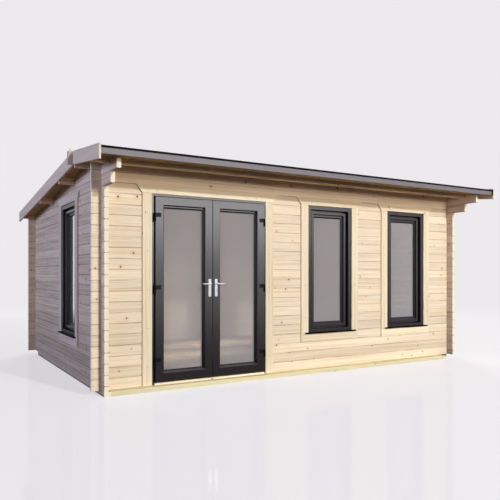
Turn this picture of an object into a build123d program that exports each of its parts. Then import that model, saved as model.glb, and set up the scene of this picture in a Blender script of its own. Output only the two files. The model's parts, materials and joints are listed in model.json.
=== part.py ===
"""Garden office pod: a log cabin on ground bearers with an offset-apex roof.

Row frame: +X along the front towards the right end, -Y out of the front, +Z up.
The origin is on the ground at the middle of the overall width and depth.
All sizes are in millimetres.
"""
from build123d import *
import os
from math import ceil, radians, tan

# Walls: interlocking logs laid in courses
CABIN_WIDTH = 5144.0  # between the outer faces of the side walls
CABIN_DEPTH = 3552.0  # between the outer faces of the front and rear walls
LOG_THICKNESS = 44.0
COURSE = 111.0  # height of one log course
LOG_CHAMFER = 5.0  # bevel along each log edge, two of them make a V joint
LOG_END = 100.0  # log ends run this far past the wall that they cross
FRONT_COURSES = 21
TOP_LOG_CUT = 6.0  # planed off the top front log where the roof boards lie on it

# Base and floor
BEARER_HEIGHT = 50.0
BEARER_WIDTH = 70.0
FRONT_BEARER_SHORT = 230.0  # front bearer stops this far inside the right wall's outer face
SIDE_BEARER_SHORT = 245.0  # side bearers stop this far inside the rear wall's outer face
JOIST_WIDTH = 45.0
JOIST_COUNT = 7
DECK_THICKNESS = 19.0
DECK_GAP = 10.0  # expansion gap between floor deck and walls

# Roof
RIDGE_SETBACK = 354.0  # ridge line behind the front wall's outer face
FRONT_PITCH = 6.0  # degrees
REAR_PITCH = 5.6
OVERHANG_FRONT = 611.0
OVERHANG_REAR = 195.0
OVERHANG_SIDE = 178.0  # to the inner face of the bargeboards
ROOF_BOARD = 19.0
ROOF_PANEL = 51.0  # insulation over the boards
MEMBRANE = 5.0
EDGE_LIP = 20.0  # membrane trim turned down over the fascia
FASCIA_THICKNESS = 20.0
BARGE_THICKNESS = 20.0
BARGE_DEPTH = 142.0  # plumb
BARGE_DROP = 50.0  # bargeboard's lower edge below the underside of the roof boards
FINIAL_WIDTH = 45.0
FINIAL_THICKNESS = 52.0
FINIAL_SHOULDER = 10.0  # finial's square part ends this far below the bargeboards' top corner
FINIAL_SPEAR = 26.0  # width of the pointed top where it starts
FINIAL_RISE = 28.0  # point above the bargeboards' top corner at the ridge
FINIAL_TIP = 1.0  # width left at the point

# Purlins and the corbelled log ends that carry the front one
PURLIN_WIDTH = 44.0
PURLIN_HEIGHT = 78.0
EAVE_PURLIN_HEIGHT = 55.0
REAR_PURLINS = (1070.0, 2180.0)  # front faces behind the front wall's outer face
EAVE_PURLIN_OUT = 311.0  # front face before the front wall's outer face
CORBEL_LOWER_OUT = 311.0
CORBEL_UPPER_OUT = 497.0
CORBEL_COURSES = 2

# Openings as they show between the trim boards: doors and windows share one head height
HEAD_COURSES = 18
HEAD_RISE = 23.0  # head above that course's top
SILL_COURSES = 4
SILL_DROP = 11.0  # sill's underside below that course's top
DOOR_FROM_LEFT = 533.0  # from the left wall's outer face
DOOR_WIDTH = 1411.0
WINDOW_WIDTH = 697.0
WINDOW_FROM_DOOR = 626.0  # left front window from the doorway
WINDOW_FROM_RIGHT = 552.0  # right front window from the right wall's outer face
SIDE_WINDOW_FROM_FRONT = 1000.0
FRAME_COVER = 20.0  # frames run this far behind the trim boards
FRAME_SETBACK = 10.0  # frames' faces behind the trim boards' faces
FIT_GAP = 2.0  # between a frame and the logs or trim that it stands in

# Trim boards round the openings
TRIM_WIDTH = 105.0
TRIM_THICKNESS = 20.0
HEADER_FLARE = 65.0  # header ends lean out by this much

# Door frame and leaves
DOOR_FRAME_FACE = 24.0
STOP_WIDTH = 15.0
STOP_DEPTH = 22.0
STOP_GAP = 5.0  # between a leaf's inner face and its stop
THRESHOLD_HEIGHT = 21.0
THRESHOLD_OUT = 30.0
LEAF_GAP = 8.0
MEETING_GAP = 6.0
MEETING_BEVEL = 6.0  # meeting edges lean back by this much, which lets either leaf swing first
LEAF_PROUD = 25.0  # leaf's face before the frame's face
LEAF_THICKNESS = 70.0
LEAF_STILE = 92.0
LEAF_TOP_RAIL = 90.0
LEAF_BOTTOM_RAIL = 101.0
DOOR_PANE_DEPTH = 45.0  # pane behind the leaf's face
DOOR_PANE = 20.0
DOOR_BEAD = 15.0

# Glazing of leaves and sashes: a bevelled edge, a deep reveal and a bead round the pane
EDGE_BEVEL = 5.0
BEAD_THICKNESS = 9.0
PANE_REBATE = 8.0
PANE_CLEARANCE = 0.3

# Hinges and handles
HINGE_PIN_RADIUS = 5.0
HINGE_CLEARANCE = 0.05
HINGE_BARREL_RADIUS = 8.0
HINGE_SIDES = 12  # of the barrels, pins and bores
HINGE_AXIS_OUT = 10.0  # in front of the leaf's face
HINGE_AXIS_SIDE = 4.0  # outside the leaf's edge
HINGE_BARREL_HEIGHT = 45.0
HINGE_THRUST_GAP = 0.3
HINGE_PIN_SHORT = 4.0  # pin ends this far below its barrel's top
HINGE_BORE_CAP = 3.0  # metal left over the bore
HINGE_PLATE = 3.0
HINGE_PLATE_EDGE = 2.0  # frame plate from the frame's outer edge
HINGE_LEAF_PLATE_WIDTH = 62.0
HINGE_END = 215.0  # hinge centre from the leaf's top and bottom
HANDLE_HEIGHT = 1114.0  # lever axis above the ground
HANDLE_FROM_EDGE = 36.0  # lever axis from the leaf's meeting edge
HANDLE_PLATE_WIDTH = 34.0
HANDLE_PLATE_LENGTH = 196.0
HANDLE_PLATE_ABOVE = 52.0  # plate's top above the lever axis
HANDLE_PLATE_THICKNESS = 9.0
HANDLE_PLATE_CORNER = 6.0
SPINDLE_RADIUS = 8.0
SPINDLE_CLEARANCE = 0.05
SPINDLE_SEAT = 7.0  # depth of the plate's bore
SPINDLE_END_GAP = 0.5
LEVER_OUT = 52.0  # lever's front before the leaf's face
LEVER_LENGTH = 120.0
LEVER_HEIGHT = 20.0
LEVER_THICKNESS = 12.0
LEVER_END_CORNER = 6.0
LEVER_FRONT_EDGE = 3.0

# Window frame and sash
WINDOW_FRAME_FACE = 50.0
WINDOW_FRAME_DEPTH = 92.0
SASH_FRONT = 27.0  # sash's face behind the frame's face
SASH_GAP = 3.0
SASH_GROOVE_WIDTH = 21.0  # rebate round the sash, dark between frame and sash
SASH_GROOVE_DEPTH = 30.0
SASH_FACE = 33.0
SASH_BEAD = 25.0
SASH_PANE_DEPTH = 36.0  # pane behind the sash's face
SASH_PANE = 14.0
WINDOW_STOP = 10.0
SILL_THICKNESS = 15.0
SILL_OUT = 50.0
SILL_EAR = 50.0  # sill runs this far past the window's visible edges

# Places worked out from the sizes above
x_left = -CABIN_WIDTH / 2
x_right = CABIN_WIDTH / 2
y_front = -(OVERHANG_FRONT + CABIN_DEPTH + OVERHANG_REAR) / 2 + OVERHANG_FRONT
y_rear = y_front + CABIN_DEPTH
y_ridge = y_front + RIDGE_SETBACK
y_roof_front = y_front - OVERHANG_FRONT
y_roof_rear = y_rear + OVERHANG_REAR
x_roof_left = x_left - OVERHANG_SIDE
x_roof_right = x_right + OVERHANG_SIDE
z_wall = BEARER_HEIGHT
z_front_top = z_wall + FRONT_COURSES * COURSE - TOP_LOG_CUT
z_ridge = z_front_top + RIDGE_SETBACK * tan(radians(FRONT_PITCH))
z_head = z_wall + HEAD_COURSES * COURSE + HEAD_RISE
z_sill = z_wall + SILL_COURSES * COURSE - SILL_DROP
z_header_top = z_wall + (HEAD_COURSES + 1) * COURSE
z_apron = z_wall + (SILL_COURSES - 1) * COURSE
y_trim = y_front - TRIM_THICKNESS
y_frame = y_trim + FRAME_SETBACK
door_x0 = x_left + DOOR_FROM_LEFT
door_x1 = door_x0 + DOOR_WIDTH
window_lefts = (door_x1 + WINDOW_FROM_DOOR, x_right - WINDOW_FROM_RIGHT - WINDOW_WIDTH)

# Places of the left leaf, its hinges and its lever
door_middle = (door_x0 + door_x1) / 2
y_leaf = y_frame - LEAF_PROUD
y_stop = y_leaf + LEAF_THICKNESS + STOP_GAP
y_door_back = y_stop + STOP_DEPTH
leaf_x0 = door_x0 + DOOR_FRAME_FACE + LEAF_GAP
leaf_x1 = door_middle - MEETING_GAP / 2
leaf_z0 = z_wall + THRESHOLD_HEIGHT + LEAF_GAP
leaf_z1 = z_head - DOOR_FRAME_FACE - LEAF_GAP
hinge_x = leaf_x0 - HINGE_AXIS_SIDE
hinge_y = y_leaf - HINGE_AXIS_OUT
hinge_heights = (leaf_z0 + HINGE_END, (leaf_z0 + leaf_z1) / 2, leaf_z1 - HINGE_END)
lever_x = leaf_x1 - HANDLE_FROM_EDGE

FAR = 20000.0  # past every edge, for cutting tools


def roof_underside(y):
    """Height of the underside of the roof boards at depth y."""
    if y < y_ridge:
        return z_ridge - (y_ridge - y) * tan(radians(FRONT_PITCH))
    return z_ridge - (y - y_ridge) * tan(radians(REAR_PITCH))


def block(x0, x1, y0, y1, z0, z1):
    """Box between two corners."""
    centre = Pos((x0 + x1) / 2, (y0 + y1) / 2, (z0 + z1) / 2)
    return centre * Box(x1 - x0, y1 - y0, z1 - z0)


def prism_x(points, x0, x1):
    """Outline of (y, z) points carried along X from x0 to x1."""
    outline = make_face(Polyline(*points, close=True))
    return extrude(Plane.YZ.offset(x0) * outline, x1 - x0)


def prism_y(points, y0, y1):
    """Outline of (x, z) points carried along Y from y0 to y1."""
    outline = make_face(Polyline(*points, close=True))
    return extrude(Plane.XZ.offset(-y1) * outline, y1 - y0)


def prism_z(points, z0, z1):
    """Outline of (x, y) points carried up from z0 to z1."""
    outline = make_face(Polyline(*points, close=True))
    return extrude(Plane.XY.offset(z0) * outline, z1 - z0)


def log_section(first_joint, top, outer, inner):
    """Section of a log wall: two faces with a V at every joint between courses.

    outer and inner are the positions of the faces across the wall.
    """
    joints = []
    joint = first_joint
    while joint < top - LOG_CHAMFER:
        joints.append(joint)
        joint += COURSE
    turn = LOG_CHAMFER if inner > outer else -LOG_CHAMFER
    up = [(outer, z_wall)]
    down = [(inner, z_wall)]
    for z in joints:
        up += [(outer, z - LOG_CHAMFER), (outer + turn, z), (outer, z + LOG_CHAMFER)]
        down += [(inner, z - LOG_CHAMFER), (inner - turn, z), (inner, z + LOG_CHAMFER)]
    return up + [(outer, top), (inner, top)] + down[::-1]


def under_roof():
    """Everything under the roof boards."""
    slopes = [(-FAR, roof_underside(-FAR)), (y_ridge, z_ridge), (FAR, roof_underside(FAR))]
    return prism_x(slopes + [(FAR, -FAR), (-FAR, -FAR)], -FAR, FAR)


def lap_notches(first, x0, x1, y0, y1):
    """Half-lap notches where a crossing wall's logs pass, one at every joint."""
    count = ceil((z_ridge - z_wall) / COURSE) + 1
    quarter = COURSE / 4
    heights = [first + k * COURSE for k in range(count)]
    return [block(x0, x1, y0, y1, z - quarter, z + quarter) for z in heights]


def window_opening(x0):
    """Hole through the front wall for a window whose left visible edge is x0."""
    edge = FRAME_COVER + FIT_GAP
    return block(
        x0 - edge, x0 + WINDOW_WIDTH + edge, y_front - LOG_THICKNESS, y_front + 2 * LOG_THICKNESS,
        z_sill - edge, z_head + edge,
    )


def front_and_rear_walls():
    """Front wall in three pieces round the doorway, and the plain rear wall."""
    x0, x1 = x_left - LOG_END, x_right + LOG_END
    pieces = {}
    for name, outer, inner in (
        ("front", y_front, y_front + LOG_THICKNESS),
        ("rear", y_rear, y_rear - LOG_THICKNESS),
    ):
        section = log_section(z_wall + COURSE, z_ridge, outer, inner)
        wall = prism_x(section, x0, x1) & under_roof()
        low, high = min(outer, inner), max(outer, inner)
        wall -= lap_notches(z_wall, x_left, x_left + LOG_THICKNESS, low, high)
        wall -= lap_notches(z_wall, x_right - LOG_THICKNESS, x_right, low, high)
        pieces[name] = wall
    front = pieces["front"]
    for x0 in window_lefts:
        front -= window_opening(x0)
    edge = FRAME_COVER + FIT_GAP
    left, right = door_x0 - edge, door_x1 + edge
    return {
        "front_wall_left": front & block(-FAR, left, -FAR, FAR, -FAR, FAR),
        "front_wall_head": front & block(left, right, -FAR, FAR, z_head + edge, FAR),
        "front_wall_right": front & block(right, FAR, -FAR, FAR, -FAR, FAR),
        "rear_wall": pieces["rear"],
    }


def purlin(y, height):
    """One purlin with its front face at y: flat below, cut to the roof above."""
    back = y + PURLIN_WIDTH
    bottom = min(roof_underside(y), roof_underside(back)) - height
    points = [(y, bottom), (y, roof_underside(y))]
    if y < y_ridge < back:
        points.append((y_ridge, z_ridge))
    points += [(back, roof_underside(back)), (back, bottom)]
    return prism_x(points, x_roof_left, x_roof_right)


def purlins():
    """Ridge purlin, front eave purlin and the rear-slope purlins."""
    rear = [purlin(y_front + y, PURLIN_HEIGHT) for y in REAR_PURLINS]
    return {
        "ridge_purlin": purlin(y_ridge - PURLIN_WIDTH / 2, PURLIN_HEIGHT),
        "eave_purlin": purlin(y_front - EAVE_PURLIN_OUT, EAVE_PURLIN_HEIGHT),
        "rear_purlins": Compound(children=rear),
    }


def side_wall(outer, inner, cuts):
    """One side wall with its gable and corbelled front log ends."""
    half = z_wall + COURSE / 2
    upper = half + COURSE * (FRONT_COURSES - CORBEL_COURSES)
    lower = upper - COURSE
    section = log_section(half, z_ridge, outer, inner)
    wall = prism_y(section, y_front - CORBEL_UPPER_OUT, y_rear + LOG_END) & under_roof()
    low, high = min(outer, inner), max(outer, inner)
    wall -= block(low, high, -FAR, y_front - LOG_END, -FAR, lower)
    wall -= block(low, high, -FAR, y_front - CORBEL_LOWER_OUT, lower, upper)
    wall -= lap_notches(half, low, high, y_front, y_front + LOG_THICKNESS)
    wall -= lap_notches(half, low, high, y_rear - LOG_THICKNESS, y_rear)
    for cut in cuts:
        wall -= cut
    return wall


def to_left_wall(shape):
    """Window pieces made with their middle at x = 0 in the front wall, set into the left wall."""
    middle = y_front + SIDE_WINDOW_FROM_FRONT + WINDOW_WIDTH / 2
    return Pos(x_left, middle, 0) * Rot(0, 0, -90) * Pos(0, -y_front, 0) * shape


def base():
    """Ground bearers, floor joists and floor deck."""
    y0 = y_front - LOG_END
    side_end = y_rear - SIDE_BEARER_SHORT
    nodes = {}
    nodes["left_bearer"] = block(
        x_left, x_left + BEARER_WIDTH, y0, side_end, 0, BEARER_HEIGHT
    )
    nodes["right_bearer"] = block(
        x_right - BEARER_WIDTH, x_right, y_front + LOG_THICKNESS, side_end, 0, BEARER_HEIGHT
    )
    nodes["front_bearer"] = block(
        x_left + BEARER_WIDTH, x_right - FRONT_BEARER_SHORT, y0,
        y0 + LOG_END + LOG_THICKNESS, 0, BEARER_HEIGHT,
    )
    nodes["rear_bearer"] = block(
        x_left + BEARER_WIDTH, x_right - BEARER_WIDTH, y_rear - BEARER_WIDTH, y_rear, 0, BEARER_HEIGHT
    )
    first = x_left + BEARER_WIDTH + JOIST_WIDTH
    last = x_right - BEARER_WIDTH - 2 * JOIST_WIDTH
    step = (last - first) / (JOIST_COUNT - 1)
    joists = []
    for k in range(JOIST_COUNT):
        x = first + k * step
        joists.append(
            block(
                x, x + JOIST_WIDTH, y_front + LOG_THICKNESS, y_rear - BEARER_WIDTH, 0, BEARER_HEIGHT
            )
        )
    nodes["floor_joists"] = Compound(children=joists)
    reach = LOG_THICKNESS + DECK_GAP
    nodes["floor_deck"] = block(
        x_left + reach, x_right - reach, y_door_back + DECK_GAP, y_rear - reach,
        BEARER_HEIGHT, BEARER_HEIGHT + DECK_THICKNESS,
    )
    return nodes


def roof_layer(lift, thickness, y0, y1):
    """Slab of the roof between depths y0 and y1, lifted plumb off the underside."""
    low = [(y, roof_underside(y) + lift) for y in (y0, y1)]
    high = [(y, z + thickness) for y, z in reversed(low)]
    return prism_x(low + high, x_roof_left, x_roof_right)


def roof():
    """Boards, insulation, membrane with its turned-down edges, and the eave fascias."""
    inner_front = y_roof_front + FASCIA_THICKNESS
    inner_rear = y_roof_rear - FASCIA_THICKNESS
    nodes = {
        "roof_boards_front": roof_layer(0, ROOF_BOARD, inner_front, y_ridge),
        "roof_boards_rear": roof_layer(0, ROOF_BOARD, y_ridge, inner_rear),
        "roof_panels_front": roof_layer(ROOF_BOARD, ROOF_PANEL, inner_front, y_ridge),
        "roof_panels_rear": roof_layer(ROOF_BOARD, ROOF_PANEL, y_ridge, inner_rear),
    }
    lift = ROOF_BOARD + ROOF_PANEL
    front_z = roof_underside(y_roof_front)
    rear_z = roof_underside(y_roof_rear)
    outline = [
        (y_roof_front - MEMBRANE, front_z + lift + MEMBRANE),
        (y_ridge, z_ridge + lift + MEMBRANE),
        (y_roof_rear + MEMBRANE, rear_z + lift + MEMBRANE),
        (y_roof_rear + MEMBRANE, rear_z + lift + MEMBRANE - EDGE_LIP),
        (y_roof_rear, rear_z + lift + MEMBRANE - EDGE_LIP),
        (y_roof_rear, rear_z + lift),
        (y_ridge, z_ridge + lift),
        (y_roof_front, front_z + lift),
        (y_roof_front, front_z + lift + MEMBRANE - EDGE_LIP),
        (y_roof_front - MEMBRANE, front_z + lift + MEMBRANE - EDGE_LIP),
    ]
    nodes["roof_membrane"] = prism_x(outline, x_roof_left, x_roof_right)
    for name, y0, y1 in (
        ("front_fascia", y_roof_front, inner_front),
        ("rear_fascia", inner_rear, y_roof_rear),
    ):
        top = [(y, roof_underside(y) + lift) for y in (y0, y1)]
        bottom = min(roof_underside(y0), roof_underside(y1))
        nodes[name] = prism_x([(y0, bottom)] + top + [(y1, bottom)], x_roof_left, x_roof_right)
    return nodes


def bargeboard(x0, x1, y0, y1):
    """Sloping gable board with plumb ends."""
    low = [(y, roof_underside(y) - BARGE_DROP) for y in (y0, y1)]
    high = [(y, z + BARGE_DEPTH) for y, z in reversed(low)]
    return prism_x(low + high, x0, x1)


def frustum(x, y, z0, z1, bottom, top):
    """Four-sided taper up the line at x, y between (x size, y size) pairs."""
    (base_x, base_y), (top_x, top_y) = bottom, top
    taper = Wedge(
        base_x, z1 - z0, base_y,
        (base_x - top_x) / 2, (base_y - top_y) / 2, (base_x + top_x) / 2, (base_y + top_y) / 2,
        align=(Align.CENTER, Align.MIN, Align.CENTER),
    )
    return Pos(x, y, z0) * Rot(90, 0, 0) * taper


def finial(x0, x1):
    """Square post over the bargeboards' ridge joint, drawn in to a narrow point."""
    x = (x0 + x1) / 2
    corner = z_ridge - BARGE_DROP + BARGE_DEPTH
    shoulder = corner - FINIAL_SHOULDER
    neck = shoulder + FINIAL_SHOULDER / 2
    half = FINIAL_WIDTH / 2
    spear = (FINIAL_SPEAR, FINIAL_SPEAR)
    post = block(x0, x1, y_ridge - half, y_ridge + half, z_ridge - BARGE_DROP, shoulder)
    post += frustum(x, y_ridge, shoulder, neck, (x1 - x0, FINIAL_WIDTH), spear)
    return post + frustum(x, y_ridge, neck, corner + FINIAL_RISE, spear, (FINIAL_TIP, FINIAL_TIP))


def gable_trim():
    """Bargeboards of both gables and the finials over their ridge joints."""
    nodes = {}
    finials = []
    for side, wall_face, turn in (("left", x_roof_left, -1), ("right", x_roof_right, 1)):
        outer = wall_face + turn * BARGE_THICKNESS
        x0, x1 = min(wall_face, outer), max(wall_face, outer)
        nodes[side + "_bargeboard_front"] = bargeboard(x0, x1, y_roof_front, y_ridge)
        nodes[side + "_bargeboard_rear"] = bargeboard(x0, x1, y_ridge, y_roof_rear)
        tip = outer + turn * FINIAL_THICKNESS
        finials.append(finial(min(outer, tip), max(outer, tip)))
    nodes["gable_finials"] = Compound(children=finials)
    return nodes


def opening_trim(x0, x1, bottom, apron):
    """Trim round one opening of the front wall, as one board set on the logs.

    The header's ends lean outwards. An apron closes the set below the sill.
    """
    left, right = x0 - TRIM_WIDTH, x1 + TRIM_WIDTH
    header = [
        (left, z_head), (right, z_head),
        (right + HEADER_FLARE, z_header_top), (left - HEADER_FLARE, z_header_top),
    ]
    trim = prism_y(header, y_trim, y_front)
    trim += block(left, x0, y_trim, y_front, bottom, z_head)
    trim += block(x1, right, y_trim, y_front, bottom, z_head)
    if apron:
        trim += block(left, right, y_trim, y_front, z_apron, bottom)
    return trim


def grown(rectangle, side, top=None, bottom=None):
    """(x0, x1, z0, z1) with its edges moved outwards, or inwards where negative."""
    x0, x1, z0, z1 = rectangle
    top = side if top is None else top
    bottom = side if bottom is None else bottom
    return (x0 - side, x1 + side, z0 - bottom, z1 + top)


def slab(rectangle, y0, y1):
    """Rectangle in the front wall's plane with a thickness."""
    x0, x1, z0, z1 = rectangle
    return block(x0, x1, y0, y1, z0, z1)


def bevel(rectangle, y, size):
    """Tool that breaks the front edge of a rectangular hole."""
    x0, x1, z0, z1 = grown(rectangle, size)
    wedge = Wedge(
        x1 - x0, size, z1 - z0, size, size, x1 - x0 - size, z1 - z0 - size,
        align=(Align.MIN, Align.MIN, Align.MIN),
    )
    return Pos(x0, y, z0) * wedge


def glaze(body, sight, y0, bead, pane_depth, pane_thickness):
    """Cuts the glazing of a leaf or sash out of its body, and makes the pane.

    sight is the hole in the face at y0. The bead reaches further in, just before the pane.
    """
    clear = grown(sight, -bead)
    seat = grown(clear, PANE_REBATE)
    y_pane = y0 + pane_depth
    body -= bevel(sight, y0, EDGE_BEVEL)
    body -= slab(sight, y0, y_pane - BEAD_THICKNESS)
    body -= slab(clear, y0, y0 + FAR)
    body -= slab(seat, y_pane, y_pane + pane_thickness)
    pane = slab(
        grown(seat, -PANE_CLEARANCE), y_pane + PANE_CLEARANCE, y_pane + pane_thickness - PANE_CLEARANCE
    )
    return body, pane


def window(x0):
    """Frame, sash, pane, sill and trim of a front-wall window with its left edge at x0."""
    x1 = x0 + WINDOW_WIDTH
    visible = (x0, x1, z_sill, z_head)
    light = grown(visible, -WINDOW_FRAME_FACE)
    y_back = y_frame + WINDOW_FRAME_DEPTH
    y_stop = y_back - WINDOW_STOP
    frame = slab(grown(visible, -FIT_GAP), y_frame, y_front)
    frame += slab(grown(visible, FRAME_COVER), y_front, y_back)
    frame -= slab(light, y_frame, y_stop)
    frame -= slab(grown(light, -STOP_WIDTH), y_stop, y_back)
    y_sash = y_frame + SASH_FRONT
    rim = grown(light, -SASH_GAP)
    face = grown(rim, -SASH_GROOVE_WIDTH)
    sash = slab(face, y_sash, y_stop) + slab(rim, y_sash + SASH_GROOVE_DEPTH, y_stop)
    sash, pane = glaze(
        sash, grown(face, -SASH_FACE), y_sash, SASH_BEAD, SASH_PANE_DEPTH, SASH_PANE
    )
    top = z_sill + SILL_THICKNESS
    sill = block(x0 + FIT_GAP, x1 - FIT_GAP, y_front - SILL_OUT, y_frame, z_sill, top)
    sill += block(x0 - SILL_EAR, x1 + SILL_EAR, y_front - SILL_OUT, y_trim, z_sill, top)
    trim = opening_trim(x0, x1, z_sill, apron=True)
    return {"frames": frame, "sashes": sash, "panes": pane, "sills": sill, "trim": trim}


def windows():
    """The two front windows and the left wall's window, sorted by kind of piece."""
    front = [window(x0) for x0 in window_lefts]
    side = window(-WINDOW_WIDTH / 2)
    nodes = {}
    for kind in ("frames", "sashes", "panes", "sills"):
        nodes["window_" + kind] = Compound(
            children=[w[kind] for w in front] + [to_left_wall(side[kind])]
        )
    nodes["front_window_trim"] = Compound(children=[w["trim"] for w in front])
    nodes["left_window_trim"] = to_left_wall(side["trim"])
    return nodes


def mirrored(shape):
    """The same shape on the other side of the doorway's middle."""
    return mirror(shape, Plane.YZ.offset(door_middle))


def door_frame():
    """Jambs and head with their stops, the threshold and the trim."""
    outer = door_x0 - FRAME_COVER
    show = door_x0 + FIT_GAP
    inner = door_x0 + DOOR_FRAME_FACE
    stop = inner + STOP_WIDTH
    z_inner = z_head - DOOR_FRAME_FACE
    jamb = prism_z(
        [
            (outer, y_front), (show, y_front), (show, y_frame), (inner, y_frame),
            (inner, y_stop), (stop, y_stop), (stop, y_door_back), (outer, y_door_back),
        ],
        z_wall,
        z_inner,
    )
    head = block(
        outer, 2 * door_middle - outer, y_front, y_door_back, z_inner, z_head + FRAME_COVER
    )
    head += block(show, 2 * door_middle - show, y_frame, y_front, z_inner, z_head - FIT_GAP)
    head += block(
        stop, 2 * door_middle - stop, y_stop, y_door_back, z_inner - STOP_WIDTH, z_inner
    )
    threshold = block(
        inner, 2 * door_middle - inner, y_front - THRESHOLD_OUT, y_stop,
        z_wall, z_wall + THRESHOLD_HEIGHT,
    )
    return {
        "door_jamb_left": jamb,
        "door_jamb_right": mirrored(jamb),
        "door_head": head,
        "door_threshold": threshold,
        "door_trim": opening_trim(door_x0, door_x1, z_wall, apron=False),
    }


def on_hinge_axis(radius, z0, z1, to_corners=True):
    """Many-sided bar on the left leaf's hinge axis.

    radius reaches its corners, or else the middles of its sides.
    """
    outline = RegularPolygon(radius, HINGE_SIDES, major_radius=to_corners)
    return extrude(Pos(hinge_x, hinge_y, z0) * outline, z1 - z0)


def hinge_halves():
    """Frame halves with their pins and leaf halves with their bores, left side."""
    frame_halves, leaf_halves = [], []
    plate_x0 = door_x0 + FIT_GAP + HINGE_PLATE_EDGE
    web_x0, web_x1 = hinge_x - HINGE_BARREL_RADIUS, hinge_x + HINGE_BARREL_RADIUS
    for z in hinge_heights:
        low = z - HINGE_BARREL_HEIGHT
        frame_half = on_hinge_axis(HINGE_BARREL_RADIUS, low, z)
        frame_half += block(plate_x0, hinge_x, y_frame - HINGE_PLATE, y_frame, low, z)
        frame_half += block(web_x0, hinge_x, hinge_y, y_frame, low, z)
        pin_top = z + HINGE_BARREL_HEIGHT - HINGE_PIN_SHORT
        frame_half += on_hinge_axis(HINGE_PIN_RADIUS, z, pin_top)
        frame_halves.append(frame_half)
        base_z = z + HINGE_THRUST_GAP
        top = base_z + HINGE_BARREL_HEIGHT
        leaf_half = on_hinge_axis(HINGE_BARREL_RADIUS, base_z, top)
        leaf_half += block(
            leaf_x0, leaf_x0 + HINGE_LEAF_PLATE_WIDTH, y_leaf - HINGE_PLATE, y_leaf, base_z, top
        )
        leaf_half += block(leaf_x0, web_x1, hinge_y, y_leaf, base_z, top)
        bore_radius = HINGE_PIN_RADIUS + HINGE_CLEARANCE
        bore_top = top - HINGE_BORE_CAP
        leaf_half -= on_hinge_axis(bore_radius, base_z, bore_top, to_corners=False)
        leaf_halves.append(leaf_half)
    return frame_halves, leaf_halves


def spindle(radius, y0, y1):
    """Cylinder on the left lever's axis between two depths."""
    middle = Pos(lever_x, (y0 + y1) / 2, HANDLE_HEIGHT)
    return middle * Rot(90, 0, 0) * Cylinder(radius, y1 - y0)


def door_handle():
    """Back plate and lever of the left leaf, near its meeting edge."""
    half = HANDLE_PLATE_WIDTH / 2
    y_plate = y_leaf - HANDLE_PLATE_THICKNESS
    top = HANDLE_HEIGHT + HANDLE_PLATE_ABOVE
    plate = block(lever_x - half, lever_x + half, y_plate, y_leaf, top - HANDLE_PLATE_LENGTH, top)
    plate = chamfer(plate.edges().filter_by(Axis.Y), HANDLE_PLATE_CORNER)
    y_seat = y_plate + SPINDLE_SEAT
    plate -= spindle(SPINDLE_RADIUS + SPINDLE_CLEARANCE, y_plate, y_seat)
    y_lever = y_leaf - LEVER_OUT
    half = LEVER_HEIGHT / 2
    bar = block(
        lever_x - LEVER_LENGTH, lever_x + half, y_lever, y_lever + LEVER_THICKNESS,
        HANDLE_HEIGHT - half, HANDLE_HEIGHT + half,
    )
    bar = chamfer(bar.edges().filter_by(Axis.Y), LEVER_END_CORNER)
    bar = chamfer(bar.faces().sort_by(Axis.Y)[0].edges(), LEVER_FRONT_EDGE)
    pivot = spindle(SPINDLE_RADIUS, y_lever + LEVER_THICKNESS / 2, y_seat - SPINDLE_END_GAP)
    return plate, bar + pivot


def leaf_and_pane():
    """Left leaf with its leaning meeting edge, and its pane."""
    y_back = y_leaf + LEAF_THICKNESS
    outline = [
        (leaf_x0, y_leaf), (leaf_x1, y_leaf), (leaf_x1 - MEETING_BEVEL, y_back), (leaf_x0, y_back)
    ]
    edges = (leaf_x0, leaf_x1, leaf_z0, leaf_z1)
    sight = grown(edges, -LEAF_STILE, -LEAF_TOP_RAIL, -LEAF_BOTTOM_RAIL)
    body = prism_z(outline, leaf_z0, leaf_z1)
    return glaze(body, sight, y_leaf, DOOR_BEAD, DOOR_PANE_DEPTH, DOOR_PANE)


def doors():
    """The two outward-opening leaves with their glass, hinges and handles."""
    leaf, pane = leaf_and_pane()
    frame_halves, leaf_halves = hinge_halves()
    plate, lever = door_handle()
    nodes = {
        "hinge_frame_halves": Compound(
            children=frame_halves + [mirrored(half) for half in frame_halves]
        )
    }
    for side, place in (("left", lambda shape: shape), ("right", mirrored)):
        nodes[side + "_door_leaf"] = place(leaf)
        nodes[side + "_door_glass"] = place(pane)
        nodes[side + "_door_hinges"] = Compound(children=[place(half) for half in leaf_halves])
        nodes[side + "_handle_plate"] = place(plate)
        nodes[side + "_door_lever"] = place(lever)
    return nodes


def assembly():
    """Every node of the pod by name."""
    nodes = {}
    nodes.update(base())
    nodes.update(front_and_rear_walls())
    beams = purlins()
    cuts = list(beams.values())
    opening = to_left_wall(window_opening(-WINDOW_WIDTH / 2))
    nodes["left_wall"] = side_wall(x_left, x_left + LOG_THICKNESS, cuts + [opening])
    nodes["right_wall"] = side_wall(x_right, x_right - LOG_THICKNESS, cuts)
    nodes.update(beams)
    nodes.update(roof())
    nodes.update(gable_trim())
    nodes.update(windows())
    nodes.update(door_frame())
    nodes.update(doors())
    return nodes


if __name__ == "__main__":
    os.makedirs("parts", exist_ok=True)
    for name, shape in assembly().items():
        export_step(shape, "parts/" + name + ".step")
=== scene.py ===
"""Looks of a garden office pod: timber, joinery, glass, roof covering, light and camera."""

import json
import logging
import math
from dataclasses import dataclass, field
from enum import Enum
from random import Random
from typing import Any, Callable, Iterator, Optional, Sequence

import bmesh
import bpy
from mathutils import Matrix, Vector

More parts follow.
